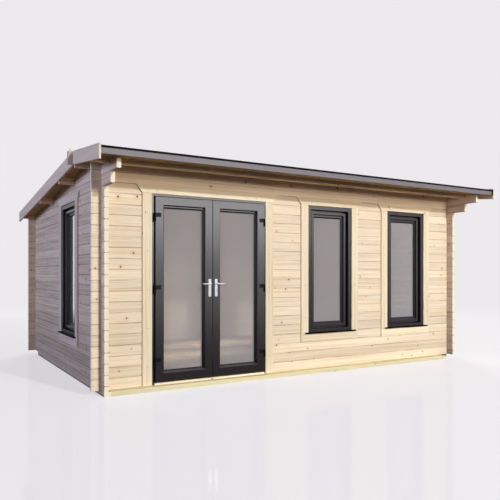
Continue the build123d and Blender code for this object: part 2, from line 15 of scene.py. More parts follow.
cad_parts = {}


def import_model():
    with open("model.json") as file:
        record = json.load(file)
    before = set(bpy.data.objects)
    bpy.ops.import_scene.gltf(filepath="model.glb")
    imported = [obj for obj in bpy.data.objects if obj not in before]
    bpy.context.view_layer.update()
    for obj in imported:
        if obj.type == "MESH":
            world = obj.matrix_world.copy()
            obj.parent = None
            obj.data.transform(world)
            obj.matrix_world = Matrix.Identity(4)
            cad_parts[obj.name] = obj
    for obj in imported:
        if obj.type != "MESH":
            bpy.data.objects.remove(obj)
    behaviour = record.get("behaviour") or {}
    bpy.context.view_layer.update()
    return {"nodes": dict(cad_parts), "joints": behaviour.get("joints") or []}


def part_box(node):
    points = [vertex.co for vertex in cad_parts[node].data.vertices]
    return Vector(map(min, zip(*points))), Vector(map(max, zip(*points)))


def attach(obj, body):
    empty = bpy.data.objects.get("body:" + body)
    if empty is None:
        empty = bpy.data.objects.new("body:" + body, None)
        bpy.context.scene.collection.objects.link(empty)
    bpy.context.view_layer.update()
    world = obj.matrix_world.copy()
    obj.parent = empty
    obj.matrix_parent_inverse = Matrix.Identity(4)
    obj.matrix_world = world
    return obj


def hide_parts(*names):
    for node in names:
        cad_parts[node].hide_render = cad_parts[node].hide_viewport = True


log = logging.getLogger("pod")

Colour = tuple[float, float, float]
MERGE = 1e-5  # vertices nearer than this are one
CREASE = math.radians(30.0)  # edges sharper than this are eased and shaded sharp
COURSE = 0.111  # height of one log course
WALL_BASE = 0.050  # underside of the lowest front log
LOG_HALF = 0.022  # half of a log's thickness


class Run(Enum):
    """Axis that the grain of a timber runs along."""

    ALONG_X = (0, 2, 1)
    ALONG_Y = (1, 2, 0)
    ALONG_Z = (2, 0, 1)
    OWN = None  # read from the piece's own grain attribute


def srgb(red: int, green: int, blue: int) -> Colour:
    """Linear colour of three display values between 0 and 255.

    Args:
        red: Red display value.
        green: Green display value.
        blue: Blue display value.

    Returns:
        The colour as a shader takes it.
    """
    channels = []
    for value in (red, green, blue):
        c = value / 255.0
        channels.append(c / 12.92 if c <= 0.04045 else ((c + 0.055) / 1.055) ** 2.4)
    return (channels[0], channels[1], channels[2])


def rgba(colour: Colour) -> tuple[float, float, float, float]:
    """The colour with full opacity."""
    return (*colour, 1.0)


@dataclass(frozen=True)
class Extent:
    """Box between a low and a high corner, in metres."""

    low: Vector
    high: Vector

    @property
    def size(self) -> Vector:
        """Length along each axis."""
        return self.high - self.low

    @property
    def middle(self) -> Vector:
        """Centre of the box."""
        return (self.low + self.high) / 2

    def moved(self, low: Sequence[float] = (0, 0, 0), high: Sequence[float] = (0, 0, 0)) -> "Extent":
        """A box with its two corners moved."""
        return Extent(self.low + Vector(low), self.high + Vector(high))


def extent(node: str) -> Extent:
    """Box round a node of the frame."""
    return Extent(*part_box(node))


def merged_copy(node: bpy.types.Object) -> bmesh.types.BMesh:
    """Closed, welded copy of a node's mesh, with flat areas as single faces.

    Args:
        node: Node of the frame.

    Returns:
        The copy, which the caller frees.
    """
    bm = bmesh.new()
    bm.from_mesh(node.data)
    bmesh.ops.remove_doubles(bm, verts=bm.verts, dist=MERGE)
    bmesh.ops.dissolve_limit(
        bm, angle_limit=math.radians(0.5), verts=bm.verts, edges=bm.edges, use_dissolve_boundaries=False
    )
    return bm


def solids(node: bpy.types.Object) -> list[Extent]:
    """Boxes round the separate solids of a node, sorted from left to right.

    Args:
        node: Node of the frame.

    Returns:
        One box for each solid, by its lowest X, then Y, then Z.
    """
    bm = bmesh.new()
    bm.from_mesh(node.data)
    bmesh.ops.remove_doubles(bm, verts=bm.verts, dist=MERGE)
    left = set(bm.verts)
    boxes = []
    while left:
        shell = [left.pop()]
        for vert in shell:
            for edge in vert.link_edges:
                other = edge.other_vert(vert)
                if other in left:
                    left.remove(other)
                    shell.append(other)
        axes = [[v.co[k] for v in shell] for k in range(3)]
        boxes.append(Extent(Vector(min(a) for a in axes), Vector(max(a) for a in axes)))
    bm.free()
    return sorted(boxes, key=lambda b: tuple(round(c, 4) for c in b.low))


def hard_edges(bm: bmesh.types.BMesh) -> list[bmesh.types.BMEdge]:
    """Edges between two faces that meet at a crease."""
    return [e for e in bm.edges if len(e.link_faces) == 2 and e.calc_face_angle(0.0) > CREASE]


def ease(bm: bmesh.types.BMesh, width: float, segments: int = 2) -> None:
    """Rounds the hard edges of a shape.

    Args:
        bm: Shape to change.
        width: Width of the rounding.
        segments: Faces across it.
    """
    bmesh.ops.bevel(
        bm, geom=hard_edges(bm), offset=width, offset_type="OFFSET", affect="EDGES",
        segments=segments, profile=0.5, material=-1, clamp_overlap=True,
    )


def block(box: Extent) -> bmesh.types.BMesh:
    """Rectangular block that fills a box."""
    bm = bmesh.new()
    bmesh.ops.create_cube(bm, size=1.0)
    bmesh.ops.scale(bm, vec=box.size, verts=bm.verts)
    bmesh.ops.translate(bm, vec=box.middle, verts=bm.verts)
    return bm


def slab(outline: Sequence[Vector], push: Vector) -> bmesh.types.BMesh:
    """Flat outline carried along a vector.

    Args:
        outline: Corners in order.
        push: Direction and length of the extrusion.

    Returns:
        The closed shape with its faces pointing outwards.
    """
    bm = bmesh.new()
    face = bm.faces.new([bm.verts.new(p) for p in outline])
    made = bmesh.ops.extrude_face_region(bm, geom=[face], use_keep_orig=True)
    moved = [g for g in made["geom"] if isinstance(g, bmesh.types.BMVert)]
    bmesh.ops.translate(bm, vec=push, verts=moved)
    bmesh.ops.recalc_face_normals(bm, faces=bm.faces)
    return bm


def rod(start: Vector, end: Vector, radius: float, segments: int = 24) -> bmesh.types.BMesh:
    """Round bar between two points.

    Args:
        start: Middle of one end.
        end: Middle of the other end.
        radius: Radius of the bar.
        segments: Faces round it.

    Returns:
        The closed shape.
    """
    bm = bmesh.new()
    axis = end - start
    turn = Vector((0, 0, 1)).rotation_difference(axis).to_matrix().to_4x4()
    place = Matrix.Translation((start + end) / 2) @ turn
    bmesh.ops.create_cone(
        bm, cap_ends=True, segments=segments, radius1=radius, radius2=radius,
        depth=axis.length, matrix=place,
    )
    return bm


class Joinery:
    """Shapes gathered into one piece, each with its own grain direction, place and tone."""

    def __init__(self, seed: int = 1) -> None:
        self.bm = bmesh.new()
        self.draw = Random(seed)

    def add(self, shape: bmesh.types.BMesh, run: Run = Run.ALONG_X) -> None:
        """Takes in a shape and frees it.

        Args:
            shape: Shape in its final place.
            run: Axis that its grain runs along.
        """
        grain = shape.verts.layers.float_vector.new("grain")
        tone = shape.verts.layers.float.new("tone")
        shift = Vector([self.draw.uniform(0.0, 40.0) for _ in range(3)])
        shade = self.draw.random()
        order = run.value or (0, 1, 2)
        for vert in shape.verts:
            vert[grain] = Vector([vert.co[k] for k in order]) + shift
            vert[tone] = shade
        scratch = bpy.data.meshes.new("scratch")
        shape.to_mesh(scratch)
        shape.free()
        self.bm.from_mesh(scratch)
        bpy.data.meshes.remove(scratch)

    def finish(
        self, name: str, body: str, material: bpy.types.Material, slot: Optional[str] = None,
        replaces: Sequence[str] = (),
    ) -> bpy.types.Object:
        """Turns the shapes into a piece that rides on a body.

        Args:
            name: Name of the piece.
            body: Body that it moves with.
            material: Finish of the whole piece.
            slot: Not used.
            replaces: Nodes that it stands for.

        Returns:
            The piece.
        """
        mesh = bpy.data.meshes.new(name)
        self.bm.to_mesh(mesh)
        self.bm.free()
        mesh.shade_smooth()
        mesh.set_sharp_from_angle(angle=CREASE)
        mesh.materials.append(material)
        piece = bpy.data.objects.new(name, mesh)
        bpy.context.scene.collection.objects.link(piece)
        even = piece.modifiers.new("even_normals", "WEIGHTED_NORMAL")
        even.keep_sharp = True
        even.weight = 100
        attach(piece, body)
        if replaces:
            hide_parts(*replaces)
        log.info("%s: %d faces", name, len(mesh.polygons))
        return piece


class Graph:
    """Node tree of one material or world, with short calls for the nodes used here."""

    def __init__(self, tree: bpy.types.NodeTree) -> None:
        self.tree = tree
        self.output: Optional[bpy.types.Node] = None
        tree.nodes.clear()

    def add(self, kind: str, **settings: Any) -> bpy.types.Node:
        """A new node with some of its settings."""
        node = self.tree.nodes.new("ShaderNode" + kind)
        for key, value in settings.items():
            setattr(node, key, value)
        return node

    def feed(self, socket: bpy.types.NodeSocket, value: Any) -> None:
        """Links an output to a socket, or sets a plain value on it."""
        if isinstance(value, bpy.types.NodeSocket):
            self.tree.links.new(value, socket)
        else:
            socket.default_value = value

    def math(self, operation: str, *values: Any) -> bpy.types.NodeSocket:
        """Result of a scalar operation."""
        node = self.add("Math", operation=operation)
        for socket, value in zip(node.inputs, values):
            self.feed(socket, value)
        return node.outputs[0]

    def vector(self, operation: str, *values: Any) -> bpy.types.NodeSocket:
        """Result of a vector operation."""
        node = self.add("VectorMath", operation=operation)
        for socket, value in zip(node.inputs, values):
            self.feed(socket, value)
        return node.outputs[0]

    def joined(self, x: Any, y: Any, z: Any) -> bpy.types.NodeSocket:
        """Vector of three values."""
        node = self.add("CombineXYZ")
        for socket, value in zip(node.inputs, (x, y, z)):
            self.feed(socket, value)
        return node.outputs[0]

    def split(self, vector: bpy.types.NodeSocket) -> Sequence[bpy.types.NodeSocket]:
        """The three values of a vector."""
        node = self.add("SeparateXYZ")
        self.feed(node.inputs[0], vector)
        return node.outputs

    def noise(
        self, place: bpy.types.NodeSocket, stretch: Sequence[float], detail: float = 2.0
    ) -> bpy.types.NodeSocket:
        """Soft noise between 0 and 1, with its frequency along each axis in 1/m."""
        node = self.add("TexNoise")
        self.feed(node.inputs["Vector"], self.vector("MULTIPLY", place, tuple(stretch)))
        self.feed(node.inputs["Scale"], 1.0)
        self.feed(node.inputs["Detail"], detail)
        return node.outputs["Fac"]

    def spread(
        self, value: Any, source: tuple[float, float], target: tuple[float, float] = (0.0, 1.0),
        smooth: bool = False,
    ) -> bpy.types.NodeSocket:
        """Value carried from one range to another and kept inside it."""
        node = self.add("MapRange", interpolation_type="SMOOTHSTEP" if smooth else "LINEAR")
        for socket, number in zip(node.inputs, (value, *source, *target)):
            self.feed(socket, number)
        return node.outputs[0]

    def blend(self, factor: Any, under: Any, over: Any, mode: str = "MIX") -> bpy.types.NodeSocket:
        """Two colours laid over each other."""
        node = self.add("Mix", data_type="RGBA", blend_type=mode)
        self.feed(node.inputs["Factor"], factor)
        for socket, colour in zip((node.inputs[6], node.inputs[7]), (under, over)):
            self.feed(socket, rgba(colour) if isinstance(colour, tuple) else colour)
        return node.outputs[2]

    def bump(self, height: Any, distance: float, strength: float = 1.0) -> bpy.types.NodeSocket:
        """Normal bent by a height field of a given depth in metres."""
        node = self.add("Bump")
        self.feed(node.inputs["Height"], height)
        self.feed(node.inputs["Distance"], distance)
        self.feed(node.inputs["Strength"], strength)
        return node.outputs[0]

    def surface(self, **inputs: Any) -> bpy.types.Node:
        """Principled shader on the material's output.

        Args:
            **inputs: Its sockets by name, with underscores for spaces.

        Returns:
            The shader node.
        """
        shader = self.add("BsdfPrincipled")
        for name, value in inputs.items():
            self.feed(shader.inputs[name.replace("_", " ")], value)
        self.output = self.add("OutputMaterial")
        self.feed(self.output.inputs["Surface"], shader.outputs[0])
        return shader


def blank(name: str) -> tuple[bpy.types.Material, Graph]:
    """A new material and its empty node tree."""
    material = bpy.data.materials.new(name)
    material.use_nodes = True
    return material, Graph(material.node_tree)


@dataclass(frozen=True)
class Timber:
    """Planed softwood with grain lines, knots and, on logs, a tone of its own for each course."""

    name: str
    pale: Colour
    warm: Colour
    knot: Colour = srgb(78, 48, 30)
    run: Run = Run.OWN
    first_joint: Optional[float] = None  # height of a log joint, on log walls
    walls: tuple[float, float] = (0.0, 0.0)  # middle between two log walls, and half their distance
    knot_chance: float = 0.5
    line_depth: float = 0.4
    streak_depth: float = 0.6
    ground_shade: float = 0.0  # painted shade, darker towards the ground
    foot_shade: float = 0.0  # painted contact shadow on the foot that stands on the ground
    gap_shade: float = 0.68  # strength of the painted shade in the open gaps between logs
    roughness: float = 0.62

    RING = 0.0065  # between two grain lines
    KNOT_CELLS = 4.4  # possible knots in a metre
    KNOT_RADIUS = 0.0085
    GAP = 0.0011  # half of the open joint between two logs, where shade is painted
    END_RING = 0.0032
    GROUND_SHADE_REACH = 1.3  # painted shade towards the ground reaches this height

    cut_pale: Colour = srgb(253, 242, 219)
    cut_warm: Colour = srgb(232, 206, 166)

    def place(self, g: Graph) -> tuple[Any, Any]:
        """Place in the timber, as (along, across, depth), and its tone between 0 and 1."""
        if self.run is Run.OWN:
            grain = g.add("Attribute", attribute_name="grain")
            tone = g.add("Attribute", attribute_name="tone")
            return grain.outputs["Vector"], tone.outputs["Fac"]
        axes = g.split(g.add("TexCoord").outputs["Object"])
        along, across, depth = (axes[k] for k in self.run.value)
        place = g.joined(along, across, depth)
        if self.first_joint is None:
            return place, 0.5
        index = g.math("FLOOR", g.math("DIVIDE", g.math("SUBTRACT", across, self.first_joint), COURSE))
        noise = g.add("TexWhiteNoise", noise_dimensions="1D")
        g.feed(noise.inputs["W"], g.math("ADD", index, 0.37 * len(self.name)))
        shift = g.vector("MULTIPLY", noise.outputs["Color"], (40.0, 0.3, 0.1))
        return g.vector("ADD", place, shift), noise.outputs["Value"]

    def knots(self, g: Graph, place: Any) -> tuple[Any, Any]:
        """Mask of the knots, and how far the grain bends round them."""
        flat = g.vector("MULTIPLY", place, (1.0, 1.0, 0.0))
        cells = g.add("TexVoronoi", voronoi_dimensions="2D", feature="F1")
        g.feed(cells.inputs["Vector"], flat)
        g.feed(cells.inputs["Scale"], self.KNOT_CELLS)
        draw = g.split(cells.outputs["Color"])
        there = g.math("GREATER_THAN", draw[0], 1.0 - self.knot_chance)
        radius = g.spread(draw[1], (0.0, 1.0), (0.45 * self.KNOT_RADIUS, 1.3 * self.KNOT_RADIUS))
        reach = g.math("DIVIDE", cells.outputs["Distance"], g.math("MULTIPLY", radius, self.KNOT_CELLS))
        mask = g.math("MULTIPLY", g.spread(reach, (0.7, 1.25), (1.0, 0.0)), there)
        swirl = g.math("MULTIPLY", g.spread(reach, (0.0, 5.0), (1.0, 0.0), smooth=True), there)
        return mask, swirl

    def material(self) -> bpy.types.Material:
        """Builds the node material."""
        material, g = blank(self.name)
        place, tone = self.place(g)
        mask, swirl = self.knots(g, place)
        across = g.split(place)[1]
        drift = g.noise(place, (1.1, 9.0, 9.0), 3.0)
        bent = g.math("ADD", across, g.math("MULTIPLY", drift, 0.045))
        bent = g.math("ADD", bent, g.math("MULTIPLY", swirl, 0.013))
        wave = g.math("SINE", g.math("MULTIPLY", bent, 2.0 * math.pi / self.RING))
        lines = g.spread(wave, (-0.2, 1.0), (0.0, 1.0), smooth=True)
        fade = g.noise(place, (0.7, 14.0, 14.0), 2.0)
        lines = g.math("MULTIPLY", lines, g.spread(fade, (0.35, 0.7)))
        fibre = g.noise(place, (9.0, 420.0, 420.0), 3.0)
        streak = g.noise(place, (0.9, 60.0, 60.0), 3.0)
        streaks = g.spread(streak, (0.44, 0.68), (0.0, self.streak_depth))
        warmth = g.math("ADD", g.math("MULTIPLY", lines, self.line_depth), streaks)
        warmth = g.math("ADD", warmth, g.spread(fibre, (0.45, 0.75), (0.0, 0.35)))
        warmth = g.math("ADD", warmth, g.math("MULTIPLY", swirl, 0.35))
        colour = g.blend(g.spread(warmth, (0.0, 1.0)), self.pale, self.warm)
        value = g.spread(tone, (0.0, 1.0), (0.90, 1.05))
        stain = g.noise(place, (0.5, 5.0, 5.0), 2.0)
        value = g.math("MULTIPLY", value, g.spread(stain, (0.3, 0.7), (0.94, 1.04)))
        height = g.split(g.add("TexCoord").outputs["Object"])[2]
        # painted shade, darker towards the ground
        value = g.math("MULTIPLY", value, g.spread(height, (0.0, self.GROUND_SHADE_REACH), (1.0 - self.ground_shade, 1.0), smooth=True))
        # painted contact shadow on the foot that stands on the ground
        value = g.math("MULTIPLY", value, g.spread(height, (0.006, 0.026), (1.0 - self.foot_shade, 1.0)))
        colour = g.blend(1.0, colour, g.joined(value, value, value), "MULTIPLY")
        colour = self.cut_ends(g, colour)
        colour = g.blend(g.math("MULTIPLY", mask, 0.85), colour, self.knot)
        colour = self.joints(g, colour)
        height = g.math("SUBTRACT", g.math("MULTIPLY", fibre, 0.6), g.math("MULTIPLY", lines, 0.5))
        g.surface(
            Base_Color=colour,
            Roughness=g.spread(fibre, (0.2, 0.8), (self.roughness - 0.06, self.roughness + 0.08)),
            Normal=g.bump(height, 0.0005, 0.6),
            Specular_IOR_Level=0.04,
        )
        return material

    def cut_ends(self, g: Graph, colour: Any) -> Any:
        """Growth rings on the ends sawn across a log, with painted shadow in the V notches where two logs meet."""
        if self.run is Run.OWN:
            return colour
        axes = g.split(g.add("TexCoord").outputs["Object"])
        facing = g.split(g.add("NewGeometry").outputs["True Normal"])[self.run.value[0]]
        end = g.math("GREATER_THAN", g.math("ABSOLUTE", facing), 0.7)
        if self.first_joint is None:
            return g.blend(end, colour, self.cut_pale)
        joint = g.math("PINGPONG", g.math("SUBTRACT", axes[2], self.first_joint), COURSE / 2)
        middle, half = self.walls
        offset = g.math("ABSOLUTE", g.math("SUBTRACT", axes[self.run.value[2]], middle))
        depth = g.math("ABSOLUTE", g.math("SUBTRACT", offset, half))
        reach = g.math("SQRT", g.math("ADD", g.math("POWER", joint, 2.0), g.math("POWER", depth, 2.0)))
        rings = g.math("SINE", g.math("MULTIPLY", reach, 2.0 * math.pi / self.END_RING))
        cut = g.blend(g.spread(rings, (-0.4, 1.0), (0.0, 0.4)), self.cut_pale, self.cut_warm)
        edge = g.math("SUBTRACT", LOG_HALF, depth)
        # painted shadow of the V between two logs, darkest at the face's outer edges
        notch_shadow = g.spread(g.math("ADD", joint, g.math("MULTIPLY", edge, 0.6)), (0.004, 0.012), (0.65, 0.0))
        cut = g.blend(notch_shadow, cut, srgb(138, 118, 101))
        return g.blend(end, colour, cut)

    def joints(self, g: Graph, colour: Any) -> Any:
        """Painted shade in the open gap where two logs meet, and dust with painted shade in the V above and below it.
        """
        if self.first_joint is None:
            return colour
        axes = g.split(g.add("TexCoord").outputs["Object"])
        gap = g.math("PINGPONG", g.math("SUBTRACT", axes[2], self.first_joint), COURSE / 2)
        course = g.math("MULTIPLY", g.math("ROUND", g.math("DIVIDE", axes[2], COURSE)), 3.7)
        open_at = g.noise(g.joined(g.math("MULTIPLY", axes[self.run.value[0]], 2.6), course, 0.0), (1.0,) * 3, 4.0)
        width = g.spread(open_at, (0.38, 0.62), (0.15, 1.0))
        # dust with painted shade in the V on either side of the joint
        v_dust_and_shade = g.math("MULTIPLY", g.spread(gap, (0.001, 0.0065), (0.35, 0.0)), width)
        colour = g.blend(v_dust_and_shade, colour, srgb(176, 138, 96), "MULTIPLY")
        # painted shade in the open gap between two logs
        line = g.math("MULTIPLY", g.spread(gap, (self.GAP, 2.2 * self.GAP), (self.gap_shade, 0.0)), width)
        return g.blend(line, colour, srgb(104, 72, 46))


@dataclass(frozen=True)
class Stain:
    """Opaque stain on planed boards, with the grain just showing through."""

    name: str
    colour: Colour
    run: Run = Run.OWN
    roughness: float = 0.55
    left: float = 1.16  # tone at the left and right ends of the pod: painted light, lighter at the left and darker at the right
    right: float = 0.80
    reach: float = 2.8  # half the pod's length

    def material(self) -> bpy.types.Material:
        """Builds the node material."""
        material, g = blank(self.name)
        if self.run is Run.OWN:
            place = g.add("Attribute", attribute_name="grain").outputs["Vector"]
        else:
            axes = g.split(g.add("TexCoord").outputs["Object"])
            place = g.joined(*(axes[k] for k in self.run.value))
        fibre = g.noise(place, (6.0, 260.0, 260.0), 3.0)
        cloud = g.noise(place, (1.2, 9.0, 9.0), 2.0)
        shade = g.math("MULTIPLY", g.spread(fibre, (0.3, 0.75), (0.93, 1.06)), g.spread(cloud, (0.3, 0.7), (0.95, 1.05)))
        x = g.split(g.add("TexCoord").outputs["Object"])[0]
        # painted light, lighter at the left end and darker at the right
        shade = g.math("MULTIPLY", shade, g.spread(x, (-self.reach, self.reach), (self.left, self.right)))
        colour = g.blend(1.0, self.colour, g.joined(shade, shade, shade), "MULTIPLY")
        g.surface(
            Base_Color=colour, Roughness=g.spread(fibre, (0.2, 0.8), (self.roughness, self.roughness + 0.12)),
            Normal=g.bump(fibre, 0.0004, 0.5), Specular_IOR_Level=0.06,
        )
        return material


@dataclass(frozen=True)
class Profile:
    """Foil-covered window and door profile: satin, with a faint emboss."""

    name: str
    colour: Colour
    roughness: float = 0.30
    gloss: float = 0.5

    def material(self) -> bpy.types.Material:
        """Builds the node material."""
        material, g = blank(self.name)
        place = g.add("TexCoord").outputs["Object"]
        emboss = g.noise(place, (700.0, 700.0, 240.0), 2.0)
        cloud = g.noise(place, (3.0, 3.0, 3.0), 2.0)
        shade = g.spread(cloud, (0.3, 0.7), (0.94, 1.06))
        g.surface(
            Base_Color=g.blend(1.0, self.colour, g.joined(shade, shade, shade), "MULTIPLY"),
            Roughness=g.spread(emboss, (0.3, 0.7), (self.roughness - 0.03, self.roughness + 0.05)),
            Normal=g.bump(emboss, 0.00015, 0.35), Specular_IOR_Level=self.gloss,
        )
        return material


@dataclass(frozen=True)
class Plain:
    """Rubber, metal or moulded plastic with a slightly uneven surface."""

    name: str
    colour: Colour
    roughness: float
    metallic: float = 0.0
    gloss: float = 0.1
    grit: float = 300.0  # frequency of the unevenness in 1/m
    depth: float = 0.00008

    def material(self) -> bpy.types.Material:
        """Builds the node material."""
        material, g = blank(self.name)
        place = g.add("TexCoord").outputs["Object"]
        grain = g.noise(place, (self.grit, self.grit, self.grit), 3.0)
        cloud = g.noise(place, (7.0, 7.0, 7.0), 2.0)
        shade = g.spread(cloud, (0.3, 0.7), (0.92, 1.06))
        g.surface(
            Base_Color=g.blend(1.0, self.colour, g.joined(shade, shade, shade), "MULTIPLY"),
            Metallic=self.metallic,
            Roughness=g.spread(grain, (0.3, 0.7), (self.roughness - 0.03, self.roughness + 0.04)),
            Normal=g.bump(grain, self.depth, 0.5), Specular_IOR_Level=self.gloss,
        )
        return material


@dataclass(frozen=True)
class Membrane:
    """Rubber roof covering: dull, with soft ripples and a film of dust."""

    name: str
    colour: Colour

    def material(self) -> bpy.types.Material:
        """Builds the node material."""
        material, g = blank(self.name)
        place = g.add("TexCoord").outputs["Object"]
        ripple = g.noise(place, (2.2, 5.5, 2.0), 3.0)
        dust = g.noise(place, (1.1, 1.4, 1.0), 5.0)
        grit = g.noise(place, (420.0, 420.0, 420.0), 2.0)
        colour = g.blend(g.spread(dust, (0.42, 0.72), (0.0, 0.3)), self.colour, srgb(58, 57, 57))
        height = g.math("ADD", ripple, g.math("MULTIPLY", grit, 0.03))
        g.surface(
            Base_Color=colour, Roughness=g.spread(dust, (0.35, 0.7), (0.55, 0.8)),
            Normal=g.bump(height, 0.006, 0.5), Specular_IOR_Level=0.05,
        )
        return material


@dataclass(frozen=True)
class Glazing:
    """Sealed glass unit: lightly hazed face on, a mirror at a grazing angle, and open to lamps."""

    name: str
    tint: Colour
    clearness: float = 0.68
    roughness: float = 0.0
    index: float = 1.03  # low, as the mirror at grazing angles is laid over it

    def material(self) -> bpy.types.Material:
        """Builds the node material."""
        material, g = blank(self.name)
        haze = g.noise(g.add("TexCoord").outputs["Object"], (2.0, 2.0, 1.2), 2.0)
        shade = g.spread(haze, (0.3, 0.7), (0.97, 1.03))
        body = g.surface(
            Base_Color=g.blend(1.0, self.tint, g.joined(shade, shade, shade), "MULTIPLY"),
            Roughness=self.roughness, IOR=self.index, Transmission_Weight=self.clearness,
        )
        mirror = g.add("BsdfGlossy")
        g.feed(mirror.inputs["Roughness"], 0.02)
        graze = g.add("LayerWeight")
        g.feed(graze.inputs["Blend"], 0.5)
        front = g.add("MixShader")
        g.feed(front.inputs[0], g.spread(graze.outputs["Facing"], (0.25, 0.8), (0.0, 0.92)))
        g.feed(front.inputs[1], body.outputs[0])
        g.feed(front.inputs[2], mirror.outputs[0])
        clear = g.add("BsdfTransparent")
        mix = g.add("MixShader")
        g.feed(mix.inputs[0], g.add("LightPath").outputs["Is Shadow Ray"])
        g.feed(mix.inputs[1], front.outputs[0])
        g.feed(mix.inputs[2], clear.outputs[0])
        g.feed(g.output.inputs["Surface"], mix.outputs[0])
        return material


class Finishes:
    """Every material of the pod, made once."""

    def __init__(self) -> None:
        pine = srgb(250, 234, 209)
        honey = srgb(224, 192, 148)
        side = WALL_BASE + COURSE / 2
        self.front_logs = Timber(
            "front_logs", pine, honey, run=Run.ALONG_X, first_joint=WALL_BASE, walls=(0.208, 1.754),
            line_depth=0.34, streak_depth=0.5, gap_shade=0.54,
        ).material()
        self.side_logs = Timber(
            "side_logs", srgb(242, 224, 204), srgb(212, 186, 160), run=Run.ALONG_Y, first_joint=side,
            walls=(0.0, 2.55), ground_shade=0.32, streak_depth=0.85, knot_chance=0.62,
        ).material()
        self.trim = Timber("trim_boards", srgb(253, 240, 211), srgb(235, 206, 162), knot_chance=0.12).material()
        self.side_trim = Timber("side_trim_boards", srgb(238, 222, 208), srgb(212, 188, 168), knot_chance=0.12).material()
        self.beam = Timber("beams", srgb(246, 222, 182), srgb(218, 184, 138), run=Run.ALONG_X).material()
        self.soffit = Timber("roof_boards", srgb(212, 172, 122), srgb(172, 130, 82), knot_chance=0.5).material()
        self.deck = Timber("floor_boards", srgb(238, 219, 184), srgb(212, 180, 134)).material()
        treated = {
            Run.ALONG_X: (srgb(249, 237, 196), srgb(226, 208, 156), 0.0),
            # darker than the copy along X: painted shade of the shaded sides of the pod
            Run.ALONG_Y: (srgb(208, 194, 172), srgb(184, 168, 140), 0.6),
        }
        self.treated = {
            run: Timber("treated_" + run.name.lower(), pale, warm, run=run, roughness=0.7, foot_shade=foot_shade).material()
            for run, (pale, warm, foot_shade) in treated.items()
        }
        self.barge = Timber("barge_boards", srgb(247, 228, 206), srgb(228, 205, 180), knot_chance=0.08).material()
        self.finial = Timber("gable_posts", srgb(226, 210, 196), srgb(204, 184, 166), knot_chance=0.0).material()
        self.grey_fascia = Stain("grey_fascia", srgb(137, 132, 135)).material()
        self.profile = Profile("anthracite_profile", srgb(35, 30, 30), roughness=0.22, gloss=1.0).material()
        self.casement = Profile("casement_profile", srgb(37, 30, 34), roughness=0.27, gloss=0.65).material()
        self.sill = Profile("black_sill", srgb(7, 6, 7), roughness=0.5, gloss=0.03).material()
        self.gasket = Plain("black_gasket", srgb(14, 14, 15), 0.6).material()
        self.glass = Glazing("glass", srgb(195, 192, 193)).material()
        self.hinge = Plain("hinge_black", srgb(12, 11, 12), 0.38, gloss=0.2).material()
        self.steel = Plain("polished_handle", srgb(238, 238, 240), 0.13, metallic=0.8, gloss=0.5).material()
        self.screw = Plain("screw_heads", srgb(84, 66, 46), 0.5, metallic=0.4).material()
        # painted shade in the keyway slot
        self.dark = Plain("dark_recess", srgb(12, 12, 12), 0.8).material()
        self.membrane = Membrane("roof_rubber", srgb(16, 15, 16)).material()
        self.foam = Plain("foam", srgb(226, 222, 204), 0.85, grit=120.0).material()


@dataclass
class Part:
    """What every sub-assembly is given: the nodes of the frame and the finishes."""

    nodes: dict[str, bpy.types.Object]
    finishes: Finishes

    def dress(self, material: bpy.types.Material, *names: str) -> None:
        """Gives nodes that keep their shape a finish."""
        for name in names:
            for slot in self.nodes[name].material_slots:
                slot.material = material
            log.info("%s: dressed", name)

    def eased(
        self, node: str, width: float, material: bpy.types.Material, slot: str, body: str = "cabin",
        run: Run = Run.ALONG_X,
    ) -> bpy.types.Object:
        """Stands in for a node with a copy whose hard edges are rounded.

        Args:
            node: Node to copy.
            width: Width of the rounding.
            material: Finish of the copy.
            slot: Material slot of the record.
            body: Body that it moves with.
            run: Axis that its grain runs along.

        Returns:
            The new piece.
        """
        shape = merged_copy(self.nodes[node])
        ease(shape, width)
        work = Joinery(len(node))
        work.add(shape, run)
        return work.finish(node + "_eased", body, material, slot, [node])


@dataclass
class Walls(Part):
    """Log walls. Their form is the frame's own."""

    def build(self) -> None:
        """Dresses the walls."""
        self.dress(
            self.finishes.front_logs, "front_wall_left", "front_wall_head", "front_wall_right", "rear_wall"
        )
        self.dress(self.finishes.side_logs, "left_wall", "right_wall")


@dataclass
class Base(Part):
    """Bearers, joists and the boarded floor."""

    board_width: float = 0.112
    board_gap: float = 0.0008
    board_ease: float = 0.0015

    def build(self) -> None:
        """Dresses the bearers and lays the floor boards."""
        self.dress(self.finishes.treated[Run.ALONG_X], "front_bearer", "rear_bearer")
        self.dress(self.finishes.treated[Run.ALONG_Y], "left_bearer", "right_bearer", "floor_joists")
        deck = extent("floor_deck")
        count = round(deck.size.y / self.board_width)
        width = deck.size.y / count
        floor = Joinery(11)
        for k in range(count):
            low = Vector((deck.low.x, deck.low.y + k * width, deck.low.z))
            high = Vector((deck.high.x, low.y + width - self.board_gap, deck.high.z))
            board = block(Extent(low, high))
            ease(board, self.board_ease, 1)
            floor.add(board, Run.ALONG_X)
        floor.finish("floor_boards", "cabin", self.finishes.deck, "deck_timber", ["floor_deck"])


